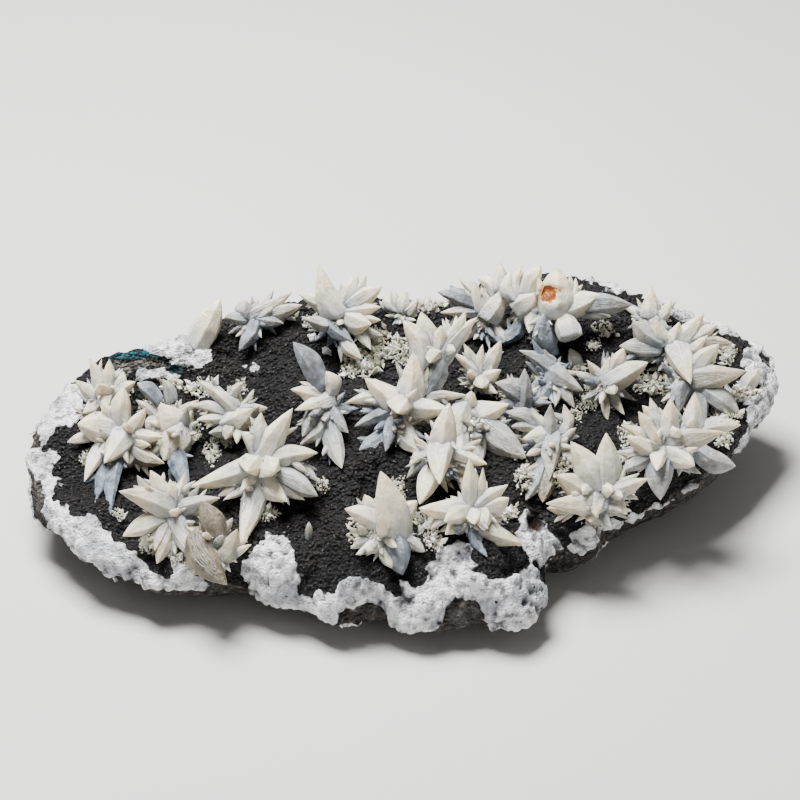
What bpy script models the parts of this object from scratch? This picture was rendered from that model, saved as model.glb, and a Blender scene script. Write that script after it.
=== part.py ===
"""Calcite on basalt: sprays of pointed calcite crystals grown on a plate of dark rock.

The crystals and the rock's edge are laid out in a front view, drawn on a plane through the middle of the
specimen, in mm across (to the right) and up from the view's centre. The view looks down on the specimen and
is drawn in perspective from one eye point, so a place in it is a line of sight, and a height or a distance
towards the eye fixes the point on that line. +X is right, +Y is back, +Z is up, and z = 0 is the flat that
the rock rests on.
"""

import math

import bpy
import numpy as np
from mathutils import Vector
from mathutils.bvhtree import BVHTree

MM = 0.001

# The front view: how far it looks down, how far away its eye is, and the point at its centre.
LOOK_DOWN = math.radians(35.0)
EYE_AWAY = 925.0
MIDDLE = Vector((-1.715, 7.906, 45.0))
ACROSS = Vector((1.0, 0.0, 0.0))
UP = Vector((0.0, math.sin(LOOK_DOWN), math.cos(LOOK_DOWN)))
TOWARD = Vector((0.0, -math.cos(LOOK_DOWN), math.sin(LOOK_DOWN)))
EYE = MIDDLE + TOWARD * EYE_AWAY

# The rock: its rim as (across, up, height), clockwise from the back left corner.
RIM = (
    (-128, 2, 34), (-131, -1, 33), (-134, -6, 31), (-136.5, -10, 30), (-138.5, -14, 29), (-139.5, -20, 28),
    (-139.5, -26, 27), (-138.8, -33, 26), (-137, -38, 25), (-135, -42, 25), (-131.5, -46, 24), (-128, -50, 23),
    (-124, -53.5, 22), (-120, -56.5, 22), (-116, -59, 21), (-110, -61.5, 21), (-104, -64, 20), (-98, -66.5, 20),
    (-92, -68, 19), (-86, -70, 18), (-80, -69.5, 18), (-72, -68, 18), (-64, -68.5, 18), (-59, -69, 17),
    (-54, -74.5, 16), (-40.5, -74, 16), (-33, -78, 15), (-25, -82, 14), (-15, -81, 14), (-5, -80.6, 14),
    (3.4, -83, 14), (9.5, -85, 13), (15, -84, 13), (25, -83, 14), (34, -82, 14), (43, -82.5, 15),
    (49, -81, 15), (52, -78, 16), (55.6, -71, 17), (54, -66, 18), (56, -60, 19), (61, -55, 20),
    (67, -56.5, 20), (72.6, -55.6, 20), (78, -48.4, 22), (83, -45, 23), (89, -43, 24), (95, -40, 24),
    (100.6, -38, 25), (106, -34, 25), (110, -32, 26), (118, -26.5, 28), (126, -24, 30), (127.5, -16.6, 31),
    (130.5, -11, 32), (135, -5, 33), (138, -1, 34), (140.5, 3.5, 35), (139.5, 8, 36), (138, 12, 37),
    (137, 18, 40), (135, 24, 43), (131, 25.5, 44), (125.6, 24, 45), (115, 29, 46), (104.4, 34, 47),
    (94, 38, 48), (84, 41, 49), (78, 44, 50), (72, 46, 51), (60, 45, 51), (45, 43, 51), (30, 40, 50),
    (15, 37, 49), (5, 36, 49), (-8, 36, 49), (-20, 36, 48), (-35, 35, 47), (-50, 33, 46), (-65, 29, 45),
    (-76, 21, 44), (-84, 18.5, 43), (-95, 19, 42), (-104, 17, 41), (-113, 13, 39), (-121, 8, 37),
)
# Heights of the top face inside the rim: the black dome, the hollows and the slopes, as (across, up, height).
HEIGHTS = (
    (-42, 20, 52), (-50, 26, 49), (-62, 10, 42), (-15, 12, 45), (-84, -10, 31), (-88, 2, 33), (-110, -15, 31),
    (-124, -30, 27), (-105, -48, 26), (-80, -52, 27), (-58, -22, 35), (-38, -42, 31), (-18, -50, 33),
    (-18, -66, 27), (10, -68, 26), (-45, -62, 27), (0, -12, 41), (20, -30, 38), (-5, -32, 38), (40, -45, 32),
    (50, -28, 36), (75, -28, 34), (75, -5, 37), (98, -22, 33), (60, 12, 44), (30, 15, 46), (0, 22, 48),
    (15, 30, 51), (-18, 28, 50), (55, 33, 53), (90, 25, 49), (100, 2, 40), (120, 8, 41), (25, -62, 29),
    (50, -62, 24),
)
HUB = (MIDDLE.x + 8.0, MIDDLE.y - 22.0)  # a place (x, y) that every part of the rim can be seen from
SHOULDER_START = 0.90  # the top face turns down over the rim from this share of the way out
SHOULDER_DROP = 7.0
# Below the rim: share of the way out, and share of the rim's height, down to the flat.
UNDERSIDE = ((0.985, 0.70), (0.92, 0.40), (0.79, 0.15), (0.56, 0.0))
AROUND_COUNT = 60
OUTWARD_SHARES = (0.14, 0.27, 0.39, 0.50, 0.60, 0.69, 0.78, 0.86, 0.93, 0.97)
# The rock's lumps: waves of these lengths, with a height of this share of the length.
LUMP_LENGTHS = (46.0, 34.0, 27.0, 21.0)
LUMP_HEIGHT_SHARE = 0.028
WAVES_EACH = 5
SHOULDER_SMOOTH = 0.7  # the lumps are this much lower at the rim
UNDERSIDE_LUMPS = 0.6  # and have this share of their height on the underside

# The crystals. A blade is (root across, root up, tip across, tip up, how much nearer the eye its tip is, width).
GAP = 0.36  # clearance between a spray and the rock
WELD = 0.02  # points of a finished spray closer than this are one
BURY = 1.5  # a root on the rock starts this far below its surface
TIP_CLEAR_SHARE = 0.4  # a tip stays this share of the blade's width off the rock
THICKNESS_SHARE = 0.72
BIG_WIDTH, SMALL_WIDTH = 10.4, 7.4
# Shares of the length and of the width at each ring of a blade, from the root up; the tip is at 1.
BIG_RINGS = ((0.0, 0.76), (0.34, 1.06), (0.72, 0.76))
PLAIN_RINGS = ((0.0, 0.78), (0.46, 1.08))
TO_HEART, TO_HEART_MOST = 0.45, 0.4  # a root ring's shift to the heart: share of the way, most as share of length
FOOT_TOP, FOOT_BOTTOM, FOOT_SIDES = 0.62, 0.8, 7  # a foot's radii, as shares of the widest blade's width
FOOT_DEEP = 3.0  # how far below the rock's surface a foot starts
FACES_KEPT = (0.74, 0.8, 0.87, 0.94)  # shares to try, when the short edges where blades cross are closed up
FEW_FACES = 120  # a piece with no more than this many triangles keeps them all

GREY_NODES = ("spray_back_low", "crystals_middle_right", "crystals_tall_grey")

# Sprays: name, the heart (across, up, how far it stands off the rock towards the eye), and its blades.
SPRAYS = (
    ("spray_left_back", ((-112, 0, 15),), (
        (-113, 5, -117.5, 16, 3, 5.5), (-110, 4, -110, 15.5, 2, 5), (-107, 3, -105, 11.5, 0, 4.5), (-115, 1, -123, 7.5, 3, 6.5),
        (-108, 3, -100, 7, 2, 5.5), (-114, -2, -120, -5, 8, 7), (-112, 4, -112, -5, 8, 7.6),
    )),
    ("spray_left_end", ((-105, -13, 14), (-87, -11, 12)), (
        (-107, -8, -104.5, 5, 3, 7.5), (-103, -12, -96, -3, 4, 6), (-110, -12, -122, -9, 6, 11),
        (-112, -16, -119.5, -31, 9, 7.5), (-104, -12, -112, -24, 13, 10.5), (-103, -19, -89, -24, 6, 6.5),
        (-101, -13, -89, -14, 4, 5.5), (-98, -21, -110, -27, 4, 5.5), (-95, -13, -91, -3, 0, 7.5),
        (-86, -12, -90.5, -1, 3, 8), (-86, -12, -101, -15, 1, 8), (-86, -10, -90, -22, 8, 8.5), (-86, -7, -76, 0, 2, 4.8),
        (-86, -19, -80, -37, 10, 7.5), (-113, -24, -115.5, -39, 9, 5), (-108, -23, -109.5, -43.5, 10, 7.5),
    )),
    ("spray_left_front", ((-86, -42, 12), (-72, -53, 10)), (
        (-86, -41, -106.5, -34.5, 8, 10), (-90, -45, -105, -51.5, 7, 7.5), (-88, -38, -94.5, -26.5, 3, 6),
        (-86, -40, -87, -30, 3, 6.5), (-85, -40, -81, -27, 1, 5), (-89, -46, -93, -57, 8, 5.5),
        (-86, -48, -92, -62, 9, 6.5), (-86, -45, -77, -61, 11, 8.5), (-82, -41, -68, -37, 4, 6.5),
        (-80, -52, -65.4, -70, 12, 11), (-66, -63, -61.6, -48.8, 4, 8), (-68, -52, -75.3, -38, 2, 9),
    )),
    ("spray_left_middle", ((-54, -26, 15),), (
        (-57, -26, -80, -33, 6, 9), (-52, -20, -40.5, -3, 3, 9.5), (-48, -22, -31, -20, 4, 7.5),
        (-52, -30, -42.5, -38.5, 9, 9.5), (-55, -23, -58, -27, 12, 9.5), (-54, -29, -60.5, -34.5, 8, 6.5),
        (-54, -34, -60, -42, 8, 5.5), (-56, -32, -67, -38, 5, 4.4), (-54, -36, -60.4, -56, 16, 8.5), (-46, -27, -31, -36.5, 7, 8.5),
        (-54, -18, -60, -12, 3, 5.5), (-54, -15, -52.5, -4.5, 2, 7.5),
    )),
    ("crystals_frosted", ((-63, -6, 8),), (
        (-62, -11, -72.5, -12.5, 3, 7), (-66, -11, -55, -3, 3, 10), (-61, -3, -71.5, 4.5, 3, 6.5),
        (-61, -4, -50, -3, 2, 6), (-66, 0, -59, 7, 0, 5),
    )),
    ("spray_dome", ((-29, 0, 11),), (
        (-30, 7, -40.5, 22, 3, 8.5), (-24, 3, -28, 11, 4, 7), (-29, 1, -41.5, 4, 4, 6.5),
        (-25, 0, -40, -4, 7, 8), (-31, -4, -37, -14, 7, 6.5), (-26, -4, -19.5, -12.5, 6, 6.5),
        (-26, -9, -38, -17, 7, 7.5), (-26, -13, -22, -26, 8, 7.5),
    )),
    ("spray_back_peak", ((-22, 33, 12),), (
        (-25.5, 31, -30.8, 51.4, 4, 11.5), (-29, 36, -38.7, 40.5, 1, 5), (-17, 31, -7.2, 30.2, 3, 4.2), (-20, 37, -16.2, 47.3, 0, 7.5), (-18, 38, -12.7, 47.3, -2, 6),
        (-18, 37, -6.6, 42.8, 0, 8.5), (-18, 33.5, -7.1, 35.2, 3, 6.5), (-20, 30, -10.8, 28.7, 6, 8.5),
        (-24, 27, -36.8, 31, 3, 7), (-23, 23, -14.5, 15.5, 6, 6), (-29, 29, -18, 22, 4, 7),
    )),
    ("crystals_back_row", ((1, 33, 5),), (
        (-5, 34, -3.4, 41.5, 0, 6), (-3, 34, -1.6, 41, 0, 4), (0.5, 33, 2.5, 41.3, 0, 5.5),
        (3, 33, 6.8, 38.3, 1, 5.5),
    )),
    ("leaf_back_left", ((-77, 20, 0),), ((-78, 19, -68, 38.5, 2, 10.5),)),
    ("spray_back_low", ((-56, 31, 6),), (
        (-59.5, 31, -58.5, 38, 1, 7), (-58, 31, -40.5, 41, 1, 7), (-53, 29, -61, 18.5, 6, 7),
        (-50, 32, -37, 36, 1, 5.5), (-53, 30, -44, 29, 3, 6), (-59, 31, -66.6, 31.4, 3, 6),
    )),
    ("spray_centre", ((3, -2, 22), (28, -6, 17), (17, -20, 9)), (
        (4, 1, 5, 18.2, 5, 11.5), (8.5, 1, 10.5, 12.6, 3, 6), (-1, -3, -13.5, 8.5, 4, 10),
        (1, 0, -0.8, -5, 15, 10), (5, -3, 19, -3.4, 8, 9), (8, 2, 26, 1.8, 2, 5.5),
        (-7, -5, -17.3, -10, 5, 6), (-6, -15, -15.5, -19, 5, 6.5), (-3.4, -8, -5.5, -19.5, 9, 6.5),
        (-2, -11, 11.5, -21.5, 7, 9.5), (-8, 2, -20.5, -1, 3, 5.4), (13, 4, 16.6, 18, 2, 7.5),
        (28, -6.5, 41.3, -1.5, 5, 9.5), (30, -9, 47.8, -22, 9, 11), (23, -1, 23, -15.7, 9, 11),
        (29, -11, 31, -24, 8, 6.5), (15.5, -22, 18.7, -1, 4, 9), (14, -23, 7.4, -39.5, 11, 7.8),
        (19, -9, 26, -40, 22, 8.5), (20, -19, 33, -24.3, 6, 5.4), (16, -14, 15, -32, 13, 9.5),
        (11, 18, 1, 30, 3, 10), (11, 19, 8, 33.5, 1, 9), (15.2, 20, 15.6, 28.2, 4, 6),
        (18, 20, 25, 34, 2, 8), (18, 20, 29.5, 31.5, 2, 7.5), (14, 20, 11, 14, 6, 8),
    )),
    ("spray_centre_front", ((28, -42, 11),), (
        (26, -41, 26.2, -22, 5, 6), (29, -41, 31.4, -25.3, 3, 4.8), (30, -39, 41, -32, 3, 7.5),
        (33, -42, 41.3, -37, 4, 6.5), (23, -43, 7, -41, 7, 9), (27, -42, 16.5, -46, 9, 7.5),
        (24, -44, 17, -51, 7, 7), (30.5, -41, 32, -49.5, 8, 7), (29, -49, 47, -54.5, 7, 8.5),
    )),
    ("spray_star", ((31, 9, 8),), (
        (30, 11, 31.3, 21.2, 3, 4.8), (33, 12, 38.3, 22.6, 2, 6), (29, 11, 19.8, 18, 3, 4.5),
        (32, 7.5, 38.3, 11.5, 5, 6), (31, 8, 31, 4.5, 8, 6), (31, 6, 37, 2.5, 5, 6),
    )),
    ("spray_front", ((-4.5, -49, 12),), (
        (-1, -57, -7.4, -26.8, 6, 12.5), (-3, -50, 1, -66.3, 7, 10.5), (-8, -46, -21, -41.2, 5, 8.5),
        (-5, -54, -16.8, -58.6, 7, 7), (1, -52, 9.5, -57.5, 4, 4.5), (-1, -45, 6.5, -38, -1, 7),
    )),
    ("spray_back_right", ((48, 36, 10), (60, 33, 10), (33, 33, 8)), (
        (33, 30, 41, 44.5, 2, 10), (28.6, 33, 28.3, 45.5, 3, 6.5), (37, 43, 29, 46.5, -1, 5.5),
        (38.5, 44, 38, 52.5, 0, 6.5), (41, 40, 46.3, 51, 0, 6), (46, 42, 53.4, 51, 1, 7),
        (40, 38, 42, 49, 0, 8), (43, 34, 52, 40, 2, 10), (58, 31, 59.5, 50.2, 4, 13.5),
        (55, 36, 52, 46.5, 2, 7), (63, 34, 76, 39.9, 3, 9.5), (64, 40, 64.4, 48, 1, 3.8), (65.5, 38, 66.5, 46.4, 0, 3.8), (62, 31, 66, 24, 8, 10),
        (42, 20, 47, 34, 3, 8.5), (51, 32, 44.7, 36, 3, 6.5), (54, 17, 54.5, 33, 4, 9),
        (26, 38, 14, 41, 2, 7), (27, 34, 15, 33, 2, 5), (68, 36, 88, 36, 2, 10), (70, 34, 80, 31.5, 2, 5.5),
    )),
    ("crystals_middle_right", ((58, 10, 6),), (
        (56, 12, 69.4, 3.4, 6, 8.5), (58, 12, 45, 18.8, 3, 8), (60, 7, 66, -3, 6, 6.5),
    )),
    ("crystals_tall_grey", ((46, 0, 6),), (
        (46, -4, 47.2, 12, 3, 7.5), (46, 3, 36, 7, 3, 6.5), (46, -5, 37, -7.5, 3, 5.5),
    )),
    ("spike_middle_right", ((67, 12.5, -1),), ((67.7, 11.5, 64.2, 19.6, 3, 5.2),)),
    ("spray_column", ((56, -15, 12),), (
        (56, -17, 57, -1.5, 3, 8), (57, -12, 56.5, -30.3, 9, 10), (56, -11, 49.5, -4.3, 3, 5.5),
        (57, -14, 46.3, -14.8, 6, 8.8), (57, -23, 46.2, -27.4, 4, 5.4), (55.5, -27, 54, -38.8, 7, 7.5),
        (53, -9.5, 42, -10, 3, 5.5), (65, -12, 62, -1.5, 2, 6),
    )),
    ("spray_right_end", ((103, 20.5, 13.4), (95, 31, 6), (110, 6, 8)), (
        (94, 31, 95.2, 43.3, 1, 8.2), (98.3, 30, 102.8, 37.8, 0, 5.6), (95, 22, 88, 30, 3, 8.5), (95, 18.5, 83, 20.4, 3, 7),
        (98, 26.5, 101, 10.4, 9, 9.5), (98, 22, 96.5, 30.5, 4, 7.5), (103, 21, 105.7, 29.6, 4.5, 7.5),
        (107, 22, 115, 33, 2, 9.5), (111, 23, 120.2, 28.5, 1, 6.5), (114, 22, 126, 21.5, 2, 6.5),
        (109, 17, 116.5, 24.5, 5, 6), (112, 14, 120.8, 21.3, 4, 8.5), (105, 21, 110, 6, 12, 10),
        (110, 8.5, 131, 11, 7, 11.5), (106, 6, 106, -4.5, 4, 9), (113, 5, 115.5, -9, 5, 6),
        (115, 5, 128.5, -5.5, 4, 8), (96, 31, 97, 24, 3, 7),
    )),
    ("spray_right_small", ((79, 7, 7),), (
        (78.3, 8, 79.4, 16.6, 2, 5.5), (80, 9, 84.7, 19.8, 2, 6.5), (77.5, 5, 94, 14.3, 4, 9.5),
    )),
    ("spray_right_front", ((99, -17, 13), (110, -14, 10)), (
        (101, -12.5, 102.5, 0.8, 4, 8.3), (97, -15, 90.2, -4.3, 4, 6.8), (98, -9, 91.6, -2, 1, 6.5),
        (97, -9, 94.6, 1, 0, 5.4), (111, -11, 111.6, 3, 3, 9), (96, -16, 83.5, -9.5, 3, 6.3),
        (97, -20, 85.8, -14, 6, 7.7), (98.5, -18, 97.2, -26.8, 12, 6.2),
        (101.5, -19.5, 111.5, -25, 10, 7.8), (103, -17, 122.6, -12, 7, 10.5), (113, -10, 129, -9.5, 2, 6),
        (99, -22, 98.5, -38, 8, 10), (112, -21, 127, -25, 4, 8.5), (94, -21, 81, -19.5, 3, 5.6),
        (94, -22, 84, -27, 5, 6), (103, -21, 114, -28, 5, 7),
    )),
    ("spray_right_low", ((76, -35, 12),), (
        (74.5, -32, 64.6, -15.6, 4, 10), (79, -31, 78, -12.3, 3, 10.5), (71, -36, 59, -28.4, 5, 8),
        (79, -40, 55, -39.2, 8, 9.5), (80, -36, 94, -29.7, 4, 8), (81, -34, 90.6, -27.7, 3, 5.5),
        (66, -42, 55.5, -41, 4, 5.5), (81, -37, 86, -43.5, 5, 6.5), (74, -36, 74, -44, 7, 8), (71, -37, 64.8, -35, 6, 4.4),
    )),
    ("crystal_right_rim", ((131, 5, -1),), ((130, 4, 136, 12, 2, 6.5),)),
    ("crystal_tiny_front", ((-34.5, -53, -1),), ((-34.5, -53, -34.5, -46, 2, 3.4),)),
)


def clear_scene():
    for obj in list(bpy.data.objects):
        bpy.data.objects.remove(obj, do_unlink=True)


def material(name, colour, roughness):
    """A plain non-metallic material of one colour (linear red, green, blue)."""
    made = bpy.data.materials.new(name)
    made.use_nodes = True
    shader = made.node_tree.nodes["Principled BSDF"]
    shader.inputs["Base Color"].default_value = (*colour, 1.0)
    shader.inputs["Roughness"].default_value = roughness
    shader.inputs["Metallic"].default_value = 0.0
    made.diffuse_color = (*colour, 1.0)
    return made


def view_point(across, up, toward):
    """The point seen at this place of the front view, this far in front of the view's plane."""
    on_plane = MIDDLE + ACROSS * across + UP * up
    return EYE + (on_plane - EYE) * ((EYE_AWAY - toward) / EYE_AWAY)


def point_at_height(across, up, height):
    """The point seen at this place of the front view whose z is the height."""
    sight = MIDDLE + ACROSS * across + UP * up - EYE
    return EYE + sight * ((height - EYE.z) / sight.z)


def toward_of_rock(rock_tree, across, up):
    """How far in front of the view's plane the rock is at this place, or None where the view misses it."""
    sight = MIDDLE + ACROSS * across + UP * up - EYE
    hit = rock_tree.ray_cast(EYE, sight.normalized())[0]
    return None if hit is None else (hit - MIDDLE).dot(TOWARD)


def smooth_field(places, heights):
    """The thin plate through the given heights: a function of x and y, as arrays."""
    places = np.asarray(places, float)
    count = len(places)

    def bending(squared):
        return 0.5 * squared * np.log(np.maximum(squared, 1e-9))

    between = ((places[:, None] - places[None]) ** 2).sum(axis=2)
    flat = np.column_stack([np.ones(count), places])
    left = np.block([[bending(between), flat], [flat.T, np.zeros((3, 3))]])
    weights = np.linalg.solve(left, np.concatenate([heights, np.zeros(3)]))

    def field(x, y):
        squared = (x[..., None] - places[:, 0]) ** 2 + (y[..., None] - places[:, 1]) ** 2
        tilt = weights[count] + weights[count + 1] * x + weights[count + 2] * y
        return bending(squared) @ weights[:count] + tilt

    return field


def lumps(x, y, z):
    """The rock's lumps at the points: a sum of plane waves in fixed random directions."""
    source = np.random.default_rng(7)
    x, y = x - MIDDLE.x, y - MIDDLE.y
    total = np.zeros_like(x)
    for length in LUMP_LENGTHS:
        for _ in range(WAVES_EACH):
            direction = source.normal(size=3)
            direction *= 2 * np.pi / (length * np.linalg.norm(direction))
            phase = source.uniform(0, 2 * np.pi)
            wave = np.sin(direction[0] * x + direction[1] * y + direction[2] * z + phase)
            total += LUMP_HEIGHT_SHARE * length * wave
    return total


def rim_curve(bearings):
    """The rim at each bearing round the hub: its distance out and its height, straight from point to point."""
    points = np.array([point_at_height(*place) for place in RIM])
    offset = points[:, :2] - HUB
    bearing = np.arctan2(offset[:, 1], offset[:, 0])
    order = np.argsort(bearing)
    bearing, points, reach = bearing[order], points[order], np.hypot(*offset[order].T)
    return (
        np.interp(bearings, bearing, reach, period=2 * np.pi),
        np.interp(bearings, bearing, points[:, 2], period=2 * np.pi),
    )


def rock_surface(bearings, outward):
    """The rock as rings round the hub: the top face out to the rim, then the underside down to the flat."""
    reach, rim_height = rim_curve(bearings)
    ring = np.array([*outward, 1.0])[:, None]
    x = HUB[0] + ring * reach * np.cos(bearings)
    y = HUB[1] + ring * reach * np.sin(bearings)
    rim_x, rim_y = x[-1], y[-1]
    inside = np.array([point_at_height(*place) for place in HEIGHTS])
    places = np.vstack([inside[:, :2], np.column_stack([rim_x, rim_y])[::2]])
    heights = np.concatenate([inside[:, 2], (rim_height + SHOULDER_DROP)[::2]])
    field = smooth_field(places, heights)
    turn = np.clip((ring - SHOULDER_START) / (1 - SHOULDER_START), 0, 1)
    z = field(x, y) - SHOULDER_DROP * turn**2
    z += lumps(x, y, z) * (1 - SHOULDER_SMOOTH * turn)
    top_hub = (*HUB, float(field(np.array([HUB[0]]), np.array([HUB[1]]))[0]))
    rings = [np.stack([x, y, z], axis=2)]
    for share, level in UNDERSIDE:
        side_x = HUB[0] + share * reach * np.cos(bearings)
        side_y = HUB[1] + share * reach * np.sin(bearings)
        side_z = level * z[-1]
        bulge = lumps(side_x, side_y, side_z) if level else np.zeros_like(reach)
        side_x += UNDERSIDE_LUMPS * bulge * np.cos(bearings)
        side_y += UNDERSIDE_LUMPS * bulge * np.sin(bearings)
        rings.append(np.stack([side_x, side_y, side_z], axis=1)[None])
    return np.concatenate(rings), top_hub, (*HUB, 0.0)


def ring_mesh(rings, first, last):
    """Points and faces of a closed skin over rings of points, with a point closing each end."""
    count, around = rings.shape[:2]
    points = [tuple(first)] + [tuple(point) for point in rings.reshape(-1, 3)] + [tuple(last)]
    faces = []
    for k in range(around):
        after = (k + 1) % around
        faces.append((0, 1 + k, 1 + after))
        for j in range(count - 1):
            low, high = 1 + j * around, 1 + (j + 1) * around
            faces.append((low + k, high + k, high + after, low + after))
        end = 1 + (count - 1) * around
        faces.append((len(points) - 1, end + after, end + k))
    return points, faces


def mesh_object(name, points, faces, finish=None):
    """An object of these points (mm) and faces, its place in its mesh."""
    mesh = bpy.data.meshes.new(name)
    mesh.from_pydata([Vector(point) * MM for point in points], [], faces)
    mesh.update()
    obj = bpy.data.objects.new(name, mesh)
    bpy.context.scene.collection.objects.link(obj)
    if finish:
        mesh.materials.append(finish)
    return obj


def triangulated(points, faces):
    """The faces as triangles, split from their first corner."""
    corners = [(face[0], face[i], face[i + 1]) for face in faces for i in range(1, len(face) - 1)]
    return points, corners


def grown(obj, distance):
    """A hidden cutter: the object's mesh, moved out along its normals by the distance."""
    mesh = obj.data.copy()
    for vertex, normal in zip(mesh.vertices, [v.normal.copy() for v in mesh.vertices]):
        vertex.co += normal * distance * MM
    cutter = bpy.data.objects.new("clearance", mesh)
    bpy.context.scene.collection.objects.link(cutter)
    cutter.hide_render = True
    cutter.display_type = "WIRE"
    return cutter


def blade(heart, root, tip, width, ridge_in_front):
    """Points and faces of one pointed crystal: rings of corners along its axis, closed by its tip.

    Its wide way lies across the line of sight, so the width is what the front view shows. Either a ridge or
    a face looks to the front. Its root ring is drawn in towards the heart, so that blades grow together.
    """
    axis = tip - root
    side = axis.cross(TOWARD)
    if side.length < 0.2 * axis.length:
        side = axis.cross(UP)
    side.normalize()
    thick = side.cross(axis).normalized()
    rings = BIG_RINGS if width >= BIG_WIDTH else PLAIN_RINGS
    sides = 6 if width > SMALL_WIDTH else 4
    turn = math.pi / sides if ridge_in_front and sides == 6 else 0.0
    half = 0.5 * width / math.cos(turn)
    inward = (heart - root) * TO_HEART
    inward -= axis * (max(0.0, inward.dot(axis)) / axis.length_squared)
    inward *= min(1.0, TO_HEART_MOST * axis.length / max(inward.length, 0.01))
    loops = []
    for share, size in rings:
        centre = root + axis * share if share else root + inward
        for k in range(sides):
            angle = turn + 2 * math.pi * k / sides
            reach = side * math.cos(angle) + thick * (math.sin(angle) * THICKNESS_SHARE)
            loops.append(centre + reach * (half * size))
    points = loops + [tip]
    faces = [tuple(reversed(range(sides)))]
    for j in range(len(rings) - 1):
        low, high = j * sides, (j + 1) * sides
        for k in range(sides):
            after = (k + 1) % sides
            faces.append((low + k, low + after, high + after, high + k))
    last = (len(rings) - 1) * sides
    for k in range(sides):
        faces.append((last + k, last + (k + 1) % sides, len(points) - 1))
    return points, faces


def foot(rock_tree, heart, widest):
    """Points and faces of the lump that carries a heart: a blunt cone from the nearest rock to the heart."""
    ground, normal = rock_tree.find_nearest(heart)[:2]
    axis = (heart - ground) if (heart - ground).length > 1 else normal
    start = ground - normal * FOOT_DEEP
    side = axis.cross(ACROSS).normalized()
    other = side.cross(axis).normalized()
    points = []
    for centre, radius in ((start, FOOT_BOTTOM * widest), (heart, FOOT_TOP * widest)):
        for k in range(FOOT_SIDES):
            angle = 2 * math.pi * k / FOOT_SIDES
            points.append(centre + side * math.cos(angle) * radius - other * math.sin(angle) * radius)
    faces = [tuple(reversed(range(FOOT_SIDES))), tuple(range(FOOT_SIDES, 2 * FOOT_SIDES))]
    for k in range(FOOT_SIDES):
        after = (k + 1) % FOOT_SIDES
        faces.append((k, after, FOOT_SIDES + after, FOOT_SIDES + k))
    return points, faces


def outward(points, faces):
    """The faces, turned round where they enclose the points inside out."""
    volume = sum(
        points[face[0]].dot(points[face[i]].cross(points[face[i + 1]]))
        for face in faces
        for i in range(1, len(face) - 1)
    )
    return faces if volume > 0 else [tuple(reversed(face)) for face in faces]


def spray_shapes(rock_tree, hearts, blades):
    """The blades and the feet of one spray, each as points and faces. A lone crystal has no foot.

    A blade's root lies at the depth of the nearest heart, or on the rock where that is nearer to the eye, and
    its tip stays clear of the rock.
    """
    centres = []
    for across, up, rise in hearts:
        ground = toward_of_rock(rock_tree, across, up)
        centres.append((across, up, ground + rise))
    widest = max(place[5] for place in blades)
    shapes = [foot(rock_tree, view_point(*centre), widest) for centre in centres if len(blades) > 1]
    for number, (across, up, tip_across, tip_up, out, width) in enumerate(blades):
        near = min(centres, key=lambda c: (c[0] - across) ** 2 + (c[1] - up) ** 2)
        ground = toward_of_rock(rock_tree, across, up)
        depth = near[2] if ground is None else max(near[2], ground - BURY)
        root = view_point(across, up, depth)
        under_tip = toward_of_rock(rock_tree, tip_across, tip_up)
        tip_depth = depth + out
        if under_tip is not None:
            tip_depth = max(tip_depth, under_tip + TIP_CLEAR_SHARE * width)
        tip = view_point(tip_across, tip_up, tip_depth)
        shapes.append(blade(view_point(*near), root, tip, width, number % 2 == 0))
    return shapes


def joined(shapes):
    """One list of points and one of faces for several shapes."""
    points, faces = [], []
    for shape_points, shape_faces in shapes:
        shift = len(points)
        points += shape_points
        faces += [tuple(shift + k for k in face) for face in outward(shape_points, shape_faces)]
    return points, faces


def pieces_of(mesh):
    """The mesh's points, and its triangles in groups, the largest group first.

    Points closer than WELD are one point. A group hangs together through edges of two triangles, so shapes
    that only touch at a point or along an edge are two groups.
    """
    points, place, index = [], {}, []
    for vertex in mesh.vertices:
        key = tuple(round(c / (WELD * MM)) for c in vertex.co)
        if key not in place:
            place[key] = len(points)
            points.append(vertex.co / MM)
        index.append(place[key])
    mesh.calc_loop_triangles()
    corners = [tuple(index[k] for k in triangle.vertices) for triangle in mesh.loop_triangles]
    by_corners = {}
    for face in corners:
        if len(set(face)) == 3:
            by_corners.setdefault(frozenset(face), []).append(face)
    faces = [same[0] for same in by_corners.values() if len(same) % 2]  # two on one place enclose nothing

    parent = list(range(len(faces)))

    def top(k):
        while parent[k] != k:
            parent[k] = parent[parent[k]]
            k = parent[k]
        return k

    beside = {}
    for k, face in enumerate(faces):
        for one, other in zip(face, face[1:] + face[:1]):
            beside.setdefault(frozenset((one, other)), []).append(k)
    for pair in beside.values():
        if len(pair) == 2:
            parent[top(pair[0])] = top(pair[1])
    groups = {}
    for k, face in enumerate(faces):
        groups.setdefault(top(k), []).append(face)
    return points, sorted(groups.values(), key=lambda group: (-len(group), group))


def apply(obj, kind, **settings):
    """Give the object the mesh that one modifier makes of it."""
    modifier = obj.modifiers.new(kind, kind)
    for name, value in settings.items():
        setattr(modifier, name, value)
    graph = bpy.context.evaluated_depsgraph_get()
    mesh = bpy.data.meshes.new_from_object(obj.evaluated_get(graph))
    obj.modifiers.clear()
    obj.data = mesh


def largest_piece(mesh):
    """A new mesh of the largest of the mesh's pieces, and whether that is all of it."""
    points, groups = pieces_of(mesh)
    used = sorted({k for face in groups[0] for k in face})
    new = {old: k for k, old in enumerate(used)}
    piece = bpy.data.meshes.new(mesh.name)
    faces = [tuple(new[k] for k in face) for face in groups[0]]
    piece.from_pydata([points[k] * MM for k in used], [], faces)
    return piece, len(groups) == 1


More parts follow.
